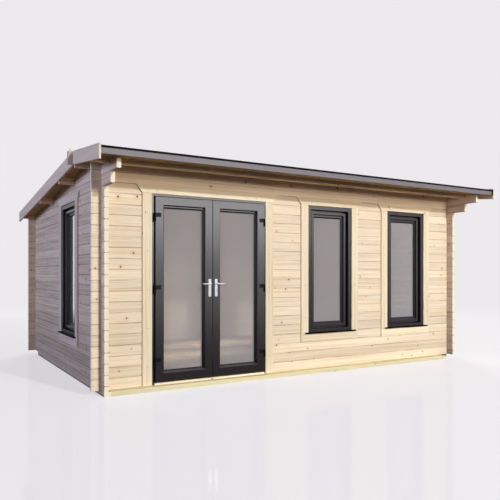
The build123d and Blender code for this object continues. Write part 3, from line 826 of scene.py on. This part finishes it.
@dataclass
class Trim(Part):
    """Boards round the openings: header with leaning ends, uprights and, at windows, an apron."""

    flare: float = 0.065  # a header's end leans out by this much
    header: float = 0.088  # height of a header
    upright: float = 0.105  # width of an upright
    apron: float = 0.100
    joint: float = 0.0006
    ease_width: float = 0.0022
    screw_radius: float = 0.0042
    screw_rise: float = 0.030  # header screws above the opening
    screw_left: float = 0.055  # header screws in from the opening's left and right edges
    screw_right: float = 0.128
    screw_step: float = 0.42  # about this far apart up an upright

    def build(self) -> None:
        """Makes the trims of the front wall and of the left wall."""
        places = [("door_trim", "door_surround", False), ("front_window_trim", "front_window_surround", True)]
        for node, name, has_apron in places:
            boards, screws = Joinery(len(name)), Joinery()
            for box in solids(self.nodes[node]):
                for shape, run in self.boards(box, has_apron):
                    boards.add(shape, run)
                for screw in self.screws(box, has_apron):
                    screws.add(screw)
            boards.finish(name, "cabin", self.finishes.trim, "board_timber", [node])
            screws.finish(name + "_screws", "cabin", self.finishes.screw)
        self.side_window()

    def side_window(self) -> None:
        """Makes the left wall's trim in the front wall's plane and turns it into place."""
        box = extent("left_window_trim")
        half = box.size.y / 2
        flat = Extent(Vector((-half, 0.0, box.low.z)), Vector((half, box.size.x, box.high.z)))
        turn = Matrix.Translation((box.low.x, box.middle.y, 0.0)) @ Matrix.Rotation(-math.pi / 2, 4, "Z")
        boards, screws = Joinery(5), Joinery()
        for shape, run in self.boards(flat, True):
            bmesh.ops.transform(shape, matrix=turn, verts=shape.verts)
            boards.add(shape, Run.ALONG_Y if run is Run.ALONG_X else run)
        for screw in self.screws(flat, True):
            bmesh.ops.transform(screw, matrix=turn, verts=screw.verts)
            screws.add(screw)
        boards.finish("left_window_surround", "cabin", self.finishes.side_trim, "board_timber", ["left_window_trim"])
        screws.finish("left_window_surround_screws", "cabin", self.finishes.screw)

    def boards(self, box: Extent, has_apron: bool) -> Iterator[tuple[bmesh.types.BMesh, Run]]:
        """The boards of one trim with the direction of their grain.

        Args:
            box: Box round the trim, with its face at the low Y.
            has_apron: Whether a board closes it below.

        Yields:
            Each board and its grain direction.
        """
        y0, thick = box.low.y, box.size.y
        left, right = box.low.x + self.flare, box.high.x - self.flare
        z_head = box.high.z - self.header
        outline = [
            (left, z_head), (right, z_head), (box.high.x, box.high.z), (box.low.x, box.high.z),
        ]
        head = slab([Vector((x, y0, z)) for x, z in outline], Vector((0, thick, 0)))
        z_foot = box.low.z + (self.apron if has_apron else 0.0)
        shapes = [(head, Run.ALONG_X)]
        for x0, x1 in ((left, left + self.upright), (right - self.upright, right)):
            low = Vector((x0, y0, z_foot + self.joint))
            shapes.append((block(Extent(low, Vector((x1, y0 + thick, z_head - self.joint)))), Run.ALONG_Z))
        if has_apron:
            low = Vector((left, y0, box.low.z))
            shapes.append((block(Extent(low, Vector((right, y0 + thick, z_foot - self.joint)))), Run.ALONG_X))
        for shape, run in shapes:
            ease(shape, self.ease_width)
            yield shape, run

    def screws(self, box: Extent, has_apron: bool) -> Iterator[bmesh.types.BMesh]:
        """Screw heads of one trim, a little below the boards' faces."""
        left, right = box.low.x + self.flare, box.high.x - self.flare
        z_head = box.high.z - self.header
        inner_left, inner_right = left + self.upright, right - self.upright
        points = [
            (inner_left + self.screw_left, z_head + self.screw_rise),
            (inner_right - self.screw_right, z_head + self.screw_rise),
        ]
        if not has_apron:
            points.append(((left + right) / 2 + self.screw_left, z_head + self.screw_rise))
        z_foot = box.low.z + (self.apron if has_apron else 0.0)
        rows = round((z_head - z_foot) / self.screw_step)
        for k in range(rows):
            z = z_foot + (k + 0.5) * (z_head - z_foot) / rows
            points += [((left + inner_left) / 2, z), ((right + inner_right) / 2, z)]
        for x, z in points:
            yield screw_head(Vector((x, box.low.y, z)), Vector((0, -1, 0)), self.screw_radius)


def screw_head(place: Vector, out: Vector, radius: float) -> bmesh.types.BMesh:
    """Countersunk screw head with a square socket, just proud of its surface.

    Args:
        place: Middle of the head on the surface.
        out: Unit vector away from the surface.
        radius: Radius of the head.

    Returns:
        The closed shape.
    """
    bm = rod(place - out * radius * 0.6, place + out * 0.0004, radius, 12)
    top = max(bm.faces, key=lambda f: f.normal.dot(out) + 0.001 * len(f.verts))
    bmesh.ops.inset_individual(bm, faces=[top], thickness=radius * 0.55, depth=0.0)
    made = bmesh.ops.extrude_discrete_faces(bm, faces=[top])
    inner = made["faces"][0]
    bmesh.ops.translate(bm, vec=-out * radius * 0.4, verts=inner.verts)
    return bm


@dataclass
class Roof(Part):
    """Roof boards, covering, bargeboards, fascias and purlins."""

    board_width: float = 0.096
    board_gap: float = 0.0006
    v_joint: float = 0.0035  # bevel on each lower edge of a roof board
    end_strip: float = 0.040  # width of the black strip at the front fascia's right end
    end_strip_proud: float = 0.0015

    def build(self) -> None:
        """Builds the whole roof."""
        for name in ("roof_boards_front", "roof_boards_rear"):
            self.boards(name)
        self.dress(self.finishes.foam, "roof_panels_front", "roof_panels_rear")
        self.dress(self.finishes.membrane, "roof_membrane")
        for side in ("left", "right"):
            for slope in ("front", "rear"):
                self.eased(
                    f"{side}_bargeboard_{slope}", 0.002, self.finishes.barge, "barge_timber",
                    run=Run.ALONG_Y,
                )
        self.eased("gable_finials", 0.0003, self.finishes.finial, "barge_timber", run=Run.ALONG_Z)
        for name in ("front_fascia", "rear_fascia"):
            self.eased(name, 0.0015, self.finishes.grey_fascia, "grey_fascia")
        for name in ("ridge_purlin", "eave_purlin", "rear_purlins"):
            self.dress(self.finishes.beam, name)
        self.strip()

    def boards(self, node: str) -> None:
        """Lays roof boards side by side down one slope, with a V joint below."""
        shape = merged_copy(self.nodes[node])
        section = sorted({(round(v.co.y, 5), round(v.co.z, 5)) for v in shape.verts})
        shape.free()
        box = extent(node)
        (y0, low0), (_, high0), (y1, low1), (_, high1) = section
        count = round(box.size.x / self.board_width)
        width = box.size.x / count
        deck = Joinery(len(node))
        for k in range(count):
            x0 = box.low.x + k * width + (self.board_gap if k else 0.0)
            x1 = box.low.x + (k + 1) * width
            outline = [
                Vector((x0, y0, high0)), Vector((x0, y0, low0 + self.v_joint)),
                Vector((x0 + self.v_joint, y0, low0)), Vector((x1 - self.v_joint, y0, low0)),
                Vector((x1, y0, low0 + self.v_joint)), Vector((x1, y0, high0)),
            ]
            deck.add(slab(outline, Vector((0.0, y1 - y0, low1 - low0))), Run.ALONG_Y)
        deck.finish(node + "_laid", "cabin", self.finishes.soffit, "soffit_timber", [node])

    def strip(self) -> None:
        """Black strip at the front fascia's right end."""
        box = extent("front_fascia")
        low = Vector((box.high.x - self.end_strip, box.low.y - self.end_strip_proud, box.low.z + 0.004))
        high = Vector((box.high.x, box.low.y + 0.002, box.high.z - 0.012))
        work = Joinery()
        work.add(block(Extent(low, high)))
        work.finish("fascia_end_strip", "cabin", self.finishes.membrane, "membrane")


@dataclass
class Gasket:
    """Rubber seal round a pane, seen as a thin dark frame, with a painted shadow widening its top strip."""

    rebate: float = 0.0077  # pane's edge behind the bead
    face: float = 0.004
    # the top strip is wider than the seal: the extra width is a painted shadow under the top rail
    top_face_and_shadow: float = 0.012
    proud: float = 0.0025
    joint: float = 0.0002  # where two strips meet

    def shapes(self, pane: Extent, out: Vector) -> Iterator[bmesh.types.BMesh]:
        """Four strips round one face of a pane.

        Args:
            pane: Box of the pane.
            out: Unit vector away from that face.

        Yields:
            Each strip.
        """
        axis = 0 if abs(out.x) > 0.5 else 1
        side = 1 - axis
        surface = (pane.high if out[axis] > 0 else pane.low)[axis]
        ends = sorted((surface, surface + out[axis] * self.proud))
        a0, a1 = pane.low[side] + self.rebate, pane.high[side] - self.rebate
        z0, z1 = pane.low.z + self.rebate, pane.high.z - self.rebate
        inner0, inner1 = a0 + self.face + self.joint, a1 - self.face - self.joint
        strips = [
            (a0, a0 + self.face, z0, z1), (a1 - self.face, a1, z0, z1),
            (inner0, inner1, z0, z0 + self.face), (inner0, inner1, z1 - self.top_face_and_shadow, z1),
        ]
        for s0, s1, low, high in strips:
            corner, far = Vector((0, 0, low)), Vector((0, 0, high))
            corner[axis], far[axis] = ends
            corner[side], far[side] = s0, s1
            strip = block(Extent(corner, far))
            ease(strip, 0.0008)
            yield strip


@dataclass
class Windows(Part):
    """Fixed frames with casements, panes, seals and sills."""

    ease_width: float = 0.0022

    def build(self) -> None:
        """Builds the two front windows and the left one."""
        for node in ("window_frames", "window_sashes"):
            self.eased(node, self.ease_width, self.finishes.casement, "anthracite", run=Run.ALONG_Z)
        self.eased("window_sills", self.ease_width, self.finishes.sill, "black_sill")
        self.dress(self.finishes.glass, "window_panes")
        seals = Joinery()
        for pane in solids(self.nodes["window_panes"]):
            across = Vector((1, 0, 0)) if pane.size.x < pane.size.y else Vector((0, 1, 0))
            for out in (-across, across):
                for strip in Gasket().shapes(pane, out):
                    seals.add(strip)
        seals.finish("window_seals", "cabin", self.finishes.gasket)


@dataclass
class Hinge:
    """One door hinge half: barrel with a cap, and a plate with two screws. The frame's half carries the pin."""

    radius: float = 0.008
    pin_radius: float = 0.005
    pin_length: float = 0.041
    bore_radius: float = 0.0051
    bore_depth: float = 0.042
    edge: float = 0.0008
    plate: float = 0.003
    cap: float = 0.0015
    screw_radius: float = 0.0038

    def shapes(self, box: Extent, axis: Vector, cap_up: bool) -> Iterator[bmesh.types.BMesh]:
        """The shapes of one half.

        Args:
            box: Box round the half.
            axis: A point on the hinge axis.
            cap_up: Whether its outer end is the upper one.

        Yields:
            Each shape.
        """
        z_top = box.high.z if cap_up else box.high.z - self.pin_length
        foot = Vector((axis.x, axis.y, box.low.z))
        head = Vector((axis.x, axis.y, z_top))
        barrel = rod(foot, head, self.radius, 32)
        ease(barrel, self.edge)
        if cap_up:
            self.bore(barrel)
        else:
            yield rod(head - Vector((0, 0, self.edge)), Vector((axis.x, axis.y, box.high.z)), self.pin_radius, 32)
        yield barrel
        end = head if cap_up else foot
        way = Vector((0, 0, self.cap if cap_up else -self.cap))
        cap = rod(end, end + way, self.radius * 0.72, 24)
        ease(cap, 0.0006)
        yield cap
        out_left = axis.x - box.low.x > box.high.x - axis.x
        x0, x1 = (box.low.x, axis.x) if out_left else (axis.x, box.high.x)
        back = box.high.y
        leaf = block(Extent(Vector((x0, back - self.plate, box.low.z)), Vector((x1, back, z_top))))
        ease(leaf, 0.001)
        yield leaf
        web = (axis.x - self.radius, axis.x) if out_left else (axis.x, axis.x + self.radius)
        y_web = axis.y + self.bore_radius + 0.0004
        yield block(Extent(Vector((web[0], y_web, box.low.z + 0.001)), Vector((web[1], back, z_top - 0.001))))
        if abs(x1 - x0) > 4 * self.radius:
            for share in (0.27, 0.73):
                place = Vector((
                    x0 + 0.42 * (x1 - x0) if out_left else x1 - 0.42 * (x1 - x0),
                    back - self.plate, box.low.z + share * (z_top - box.low.z),
                ))
                yield screw_head(place, Vector((0, -1, 0)), self.screw_radius)

    def bore(self, barrel: bmesh.types.BMesh) -> None:
        """Opens the barrel from below for the pin."""
        foot = min(barrel.faces, key=lambda f: f.normal.z - 0.001 * len(f.verts))
        wall = self.radius - self.edge - self.bore_radius
        bmesh.ops.inset_individual(barrel, faces=[foot], thickness=wall, depth=0.0)
        floor = bmesh.ops.extrude_discrete_faces(barrel, faces=[foot])["faces"][0]
        bmesh.ops.translate(barrel, vec=Vector((0, 0, self.bore_depth)), verts=floor.verts)


@dataclass
class Handle:
    """Lever on a long back plate, with a key cylinder below."""

    plate_ease: float = 0.0025
    neck_radius: float = 0.0078
    rose_radius: float = 0.0095
    rose_height: float = 0.003
    bar_thick: float = 0.0050  # half of the bar's depth
    bar_tall: float = 0.0076  # half of its height at the neck
    bar_tip: float = 0.0060
    bar_share: float = 0.90  # of the reach of the node's box
    stations: int = 18
    dip: float = 0.003  # the bar bows down by this much before its tip
    back_bend: float = 0.011  # the tip turns back towards the leaf by this much
    cylinder_drop: float = 0.072
    cylinder_radius: float = 0.0085
    cylinder_proud: float = 0.003

    def plate(self, box: Extent, corner: float = 0.007) -> bmesh.types.BMesh:
        """Back plate with rounded corners and edges."""
        bm = block(box)
        upright = [e for e in bm.edges if abs((e.verts[0].co - e.verts[1].co).y) > 0.5 * box.size.y]
        bmesh.ops.bevel(
            bm, geom=upright, offset=corner, offset_type="OFFSET", affect="EDGES", segments=6,
            profile=0.5, material=-1, clamp_overlap=True,
        )
        front = [e for e in bm.edges if all(abs(v.co.y - box.low.y) < MERGE for v in e.verts)]
        bmesh.ops.bevel(
            bm, geom=front, offset=self.plate_ease, offset_type="OFFSET", affect="EDGES", segments=3,
            profile=0.5, material=-1, clamp_overlap=True,
        )
        return bm

    def lever(self, box: Extent, pivot: Vector) -> Iterator[bmesh.types.BMesh]:
        """Neck and bowed bar.

        Args:
            box: Box round the lever at rest.
            pivot: A point on its axis.

        Yields:
            Each shape.
        """
        out_left = pivot.x - box.low.x > box.high.x - pivot.x
        tip = box.low.x if out_left else box.high.x
        y_bar = box.low.y + self.bar_thick + 0.0005
        neck = rod(Vector((pivot.x, box.high.y, pivot.z)), Vector((pivot.x, y_bar, pivot.z)), self.neck_radius)
        yield neck
        bm = bmesh.new()
        edges = []
        reach = self.bar_share * (tip - pivot.x)
        tip = pivot.x + reach
        start = pivot.x - math.copysign(self.bar_tall * 0.9, reach)
        for k in range(self.stations + 1):
            share = k / self.stations
            x = start + share * (tip - start)
            ends = min(1.0, math.sqrt(max(0.0, 1.0 - (abs(2.0 * share - 1.0)) ** 14)) + 0.08)
            tall = (self.bar_tall + share * (self.bar_tip - self.bar_tall)) * ends
            z = pivot.z - self.dip * math.sin(math.pi * share) * share
            y = y_bar + self.back_bend * max(0.0, (share - 0.55) / 0.45) ** 2
            ring = bmesh.ops.create_circle(bm, segments=16, radius=1.0)["verts"]
            bmesh.ops.scale(bm, vec=(tall, self.bar_thick * ends, 1.0), verts=ring)
            turn = Matrix(((0, 0, 1), (0, 1, 0), (1, 0, 0))).to_4x4()
            bmesh.ops.transform(bm, matrix=Matrix.Translation((x, y, z)) @ turn, verts=ring)
            edges.append({e for v in ring for e in v.link_edges})
        for one, two in zip(edges, edges[1:]):
            bmesh.ops.bridge_loops(bm, edges=[*one, *two])
        for ring in (edges[0], edges[-1]):
            bmesh.ops.contextual_create(bm, geom=list(ring))
        bmesh.ops.recalc_face_normals(bm, faces=bm.faces)
        yield bm

    def cylinder(self, pivot: Vector, face: float) -> tuple[bmesh.types.BMesh, bmesh.types.BMesh]:
        """Key cylinder, and a dark block in its slot as painted shade, on the plate's face."""
        place = Vector((pivot.x, face, pivot.z - self.cylinder_drop))
        barrel = rod(place + Vector((0, 0.002, 0)), place - Vector((0, self.cylinder_proud, 0)), self.cylinder_radius)
        ease(barrel, 0.0008)
        y0 = face - self.cylinder_proud - 0.0002
        # dark block in the keyway: painted shade of the slot
        slot = block(Extent(
            place.xz.to_3d() * 0 + Vector((place.x - 0.0011, y0, place.z - 0.0042)),
            Vector((place.x + 0.0011, face, place.z + 0.0042)),
        ))
        return barrel, slot

    def rose(self, pivot: Vector, face: float) -> bmesh.types.BMesh:
        """Raised ring where the lever leaves the plate."""
        place = Vector((pivot.x, face, pivot.z))
        ring = rod(place + Vector((0, 0.001, 0)), place - Vector((0, self.rose_height, 0)), self.rose_radius, 32)
        ease(ring, 0.0012)
        return ring


@dataclass
class Doors(Part):
    """Door frame, threshold, and the two glazed leaves with their hinges and handles."""

    joints: dict[str, Vector] = field(default_factory=dict)
    ease_width: float = 0.0022

    def build(self) -> None:
        """Builds the fixed frame and both leaves."""
        for node in ("door_jamb_left", "door_jamb_right"):
            self.eased(node, 0.0015, self.finishes.profile, "anthracite", run=Run.ALONG_Z)
        self.eased("door_head", 0.0015, self.finishes.profile, "anthracite")
        self.eased("door_threshold", 0.002, self.finishes.trim, "board_timber")
        halves = Joinery()
        for box in solids(self.nodes["hinge_frame_halves"]):
            left = self.joints["left_door_hinge"]
            right = self.joints["right_door_hinge"]
            axis = min((left, right), key=lambda p: abs(p.x - box.middle.x))
            for shape in Hinge().shapes(box, axis, cap_up=False):
                halves.add(shape)
        halves.finish("frame_hinges", "cabin", self.finishes.hinge, "hinge_metal", ["hinge_frame_halves"])
        for side in ("left", "right"):
            self.leaf(side)

    def leaf(self, side: str) -> None:
        """Builds one leaf with everything on it."""
        body = side + "_leaf"
        self.eased(side + "_door_leaf", self.ease_width, self.finishes.profile, "anthracite", body, Run.ALONG_Z)
        self.dress(self.finishes.glass, side + "_door_glass")
        pane = extent(side + "_door_glass")
        seals = Joinery()
        for out in (Vector((0, -1, 0)), Vector((0, 1, 0))):
            for strip in Gasket().shapes(pane, out):
                seals.add(strip)
        seals.finish(side + "_door_seals", body, self.finishes.gasket)
        halves = Joinery()
        for box in solids(self.nodes[side + "_door_hinges"]):
            for shape in Hinge().shapes(box, self.joints[side + "_door_hinge"], cap_up=True):
                halves.add(shape)
        halves.finish(side + "_leaf_hinges", body, self.finishes.hinge, "hinge_metal", [side + "_door_hinges"])
        self.handle(side, body)

    def handle(self, side: str, body: str) -> None:
        """Builds one leaf's plate, lever and key cylinder."""
        kit = Handle()
        pivot = self.joints[side + "_lever_turn"]
        box = extent(side + "_handle_plate")
        work = Joinery()
        work.add(kit.plate(box))
        work.add(kit.rose(pivot, box.low.y))
        barrel, slot = kit.cylinder(pivot, box.low.y)
        work.add(barrel)
        work.finish(side + "_back_plate", body, self.finishes.steel, "handle_metal", [side + "_handle_plate"])
        keyway = Joinery()
        keyway.add(slot)
        keyway.finish(side + "_keyway", body, self.finishes.dark)
        lever = Joinery()
        for shape in kit.lever(extent(side + "_door_lever"), pivot):
            lever.add(shape)
        lever.finish(
            side + "_lever_bar", side + "_lever", self.finishes.steel, "handle_metal", [side + "_door_lever"]
        )


@dataclass(frozen=True)
class Softbox:
    """Distant area lamp aimed at the pod. A reflector is seen only in glossy surfaces."""

    name: str
    azimuth: float  # degrees from the front towards the right
    elevation: float  # degrees
    distance: float
    size: tuple[float, float]
    level: float  # light on a white surface that faces it, 1 being display white
    colour: Colour = (1.0, 1.0, 1.0)
    reflector: bool = False
    aim: Sequence[float] = (0.0, -1.0, 1.2)
    spread: float = 180.0  # degrees

    def make(self) -> None:
        """Adds the lamp to the scene."""
        lamp = bpy.data.lights.new(self.name, "AREA")
        lamp.shape = "RECTANGLE"
        lamp.size, lamp.size_y = self.size
        lamp.energy = self.level * (math.pi * self.distance) ** 2
        lamp.color = self.colour
        lamp.spread = math.radians(self.spread)
        turn, lift = math.radians(self.azimuth), math.radians(self.elevation)
        way = Vector((math.sin(turn) * math.cos(lift), -math.cos(turn) * math.cos(lift), math.sin(lift)))
        holder = bpy.data.objects.new(self.name, lamp)
        holder.location = Vector(self.aim) + way * self.distance
        holder.rotation_euler = (-way).to_track_quat("-Z", "Y").to_euler()
        holder.visible_camera = False
        holder.visible_transmission = False
        holder.visible_diffuse = not self.reflector
        holder.visible_glossy = self.reflector
        bpy.context.scene.collection.objects.link(holder)


@dataclass
class Studio:
    """Pale floor and surround, lamps and the camera at the photo's viewpoint."""

    backdrop: Colour = srgb(237, 234, 237)
    ambient: Colour = (0.046, 0.038, 0.035)
    floor_radius: float = 40.0
    floor_bounce: Colour = (0.09, 0.085, 0.10)
    floor_glow: float = 0.735
    floor_albedo: float = 0.44
    floor_mirror: float = 0.07
    eye: Sequence[float] = (-4.2178, -7.2458, 1.2373)
    yaw: float = math.radians(-30.819)
    lens: float = 40.95
    sensor: float = 36.0
    rise: float = 0.0452  # vertical shift of the photo's frame

    def build(self) -> None:
        """Makes the whole studio."""
        self.world()
        self.floor()
        self.lamps()
        self.camera()
        bpy.context.scene.view_settings.view_transform = "Standard"

    def seen(self, g: Graph) -> Any:
        """1 for the rays that should meet the pale surround, and 0 for those that carry light."""
        path = g.add("LightPath")
        camera_or_gloss = g.math(
            "MAXIMUM", path.outputs["Is Camera Ray"], path.outputs["Is Glossy Ray"]
        )
        return g.math("MAXIMUM", camera_or_gloss, path.outputs["Is Transmission Ray"])

    def world(self) -> None:
        """Pale to the eye and in reflections, and a dim ambient light on the object."""
        world = bpy.data.worlds.new("surround")
        world.use_nodes = True
        bpy.context.scene.world = world
        g = Graph(world.node_tree)
        light = g.add("Background")
        g.feed(light.inputs["Color"], rgba(self.ambient))
        shown = g.add("Background")
        g.feed(shown.inputs["Color"], rgba(self.backdrop))
        mix = g.add("MixShader")
        g.feed(mix.inputs[0], self.seen(g))
        g.feed(mix.inputs[1], light.outputs[0])
        g.feed(mix.inputs[2], shown.outputs[0])
        out = g.add("OutputWorld")
        g.feed(out.inputs["Surface"], mix.outputs[0])

    def floor(self) -> None:
        """Round floor with a soft shadow and a faint mirror image, which fades into the surround."""
        bm = bmesh.new()
        bmesh.ops.create_circle(bm, cap_ends=True, segments=96, radius=self.floor_radius)
        mesh = bpy.data.meshes.new("floor")
        bm.to_mesh(mesh)
        bm.free()
        floor = bpy.data.objects.new("floor", mesh)
        bpy.context.scene.collection.objects.link(floor)
        material, g = blank("pale_floor")
        mesh.materials.append(material)
        far = g.add("VectorMath", operation="LENGTH")
        g.feed(far.inputs[0], g.add("TexCoord").outputs["Object"])
        fade = g.spread(far.outputs["Value"], (6.0, 15.0), (0.0, 1.0), smooth=True)
        seen = self.seen(g)
        path = g.add("LightPath")
        direct = g.math("MAXIMUM", path.outputs["Is Camera Ray"], path.outputs["Is Transmission Ray"])
        ground = g.add("BsdfDiffuse")
        g.feed(ground.inputs["Color"], g.blend(direct, self.floor_bounce, (self.floor_albedo,) * 3))
        glow = g.add("Emission")
        g.feed(glow.inputs["Color"], rgba(self.backdrop))
        g.feed(glow.inputs["Strength"], g.math("MULTIPLY", direct, self.floor_glow))
        lit = g.add("AddShader")
        g.feed(lit.inputs[0], ground.outputs[0])
        g.feed(lit.inputs[1], glow.outputs[0])
        mirror = g.add("BsdfGlossy")
        g.feed(mirror.inputs["Roughness"], 0.06)
        wet = g.add("MixShader")
        g.feed(wet.inputs[0], g.math("MULTIPLY", direct, self.floor_mirror))
        g.feed(wet.inputs[1], lit.outputs[0])
        g.feed(wet.inputs[2], mirror.outputs[0])
        away = g.add("Emission")
        g.feed(away.inputs["Color"], rgba(self.backdrop))
        mix = g.add("MixShader")
        g.feed(mix.inputs[0], g.math("MULTIPLY", fade, seen))
        g.feed(mix.inputs[1], wet.outputs[0])
        g.feed(mix.inputs[2], away.outputs[0])
        out = g.add("OutputMaterial")
        g.feed(out.inputs["Surface"], mix.outputs[0])

    def lamps(self) -> None:
        """Key in front, a weaker lamp at the right, a cool one at the left and one behind."""
        Softbox("key", 10.0, 19.9, 28.0, (1.6, 0.9), 0.558, (0.86, 0.92, 0.97)).make()
        Softbox("low_lamp", 12.0, 8.3, 18.0, (4.0, 3.2), 0.38, (1.0, 0.90, 0.78)).make()
        Softbox("right_lamp", 58.0, 14.0, 12.0, (3.0, 2.0), 0.10).make()
        Softbox("left_lamp", -82.0, 10.0, 28.0, (24.0, 9.0), 0.56, (0.61, 0.67, 0.97)).make()
        Softbox("rear_lamp", 152.0, 20.0, 24.0, (14.0, 9.0), 0.62).make()
        Softbox("reflector", 16.0, 14.5, 11.0, (11.0, 3.9), 0.33, reflector=True, aim=(0.0, -1.5, 1.3)).make()
        for name, x, y, size in (("room_rear", -0.15, 1.15, (1.7, 0.16)), ("room_front", -1.0, 0.2, (1.5, 0.22))):
            Softbox(name, 0.0, 90.0, 1.8, size, 0.12, (1.0, 0.97, 0.88), aim=(x, y, 0.1), spread=35.0).make()

    def camera(self) -> None:
        """Camera where the photo was taken from."""
        data = bpy.data.cameras.new("view")
        data.sensor_width = self.sensor
        data.lens = self.lens
        data.shift_y = self.rise
        eye = bpy.data.objects.new("view", data)
        eye.location = self.eye
        eye.rotation_euler = (math.pi / 2, 0.0, self.yaw)
        bpy.context.scene.collection.objects.link(eye)
        bpy.context.scene.camera = eye


def main() -> None:
    """Loads the frame and builds every sub-assembly round it."""
    logging.basicConfig(level=logging.INFO, format="%(name)s %(message)s")
    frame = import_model()
    nodes = frame["nodes"]
    finishes = Finishes()
    joints = {joint["name"]: Vector(joint["pos_m"]) for joint in frame["joints"]}
    Studio().build()
    Walls(nodes, finishes).build()
    Base(nodes, finishes).build()
    Trim(nodes, finishes).build()
    Roof(nodes, finishes).build()
    Windows(nodes, finishes).build()
    Doors(nodes, finishes, joints).build()


if __name__ == "__main__":
    main()
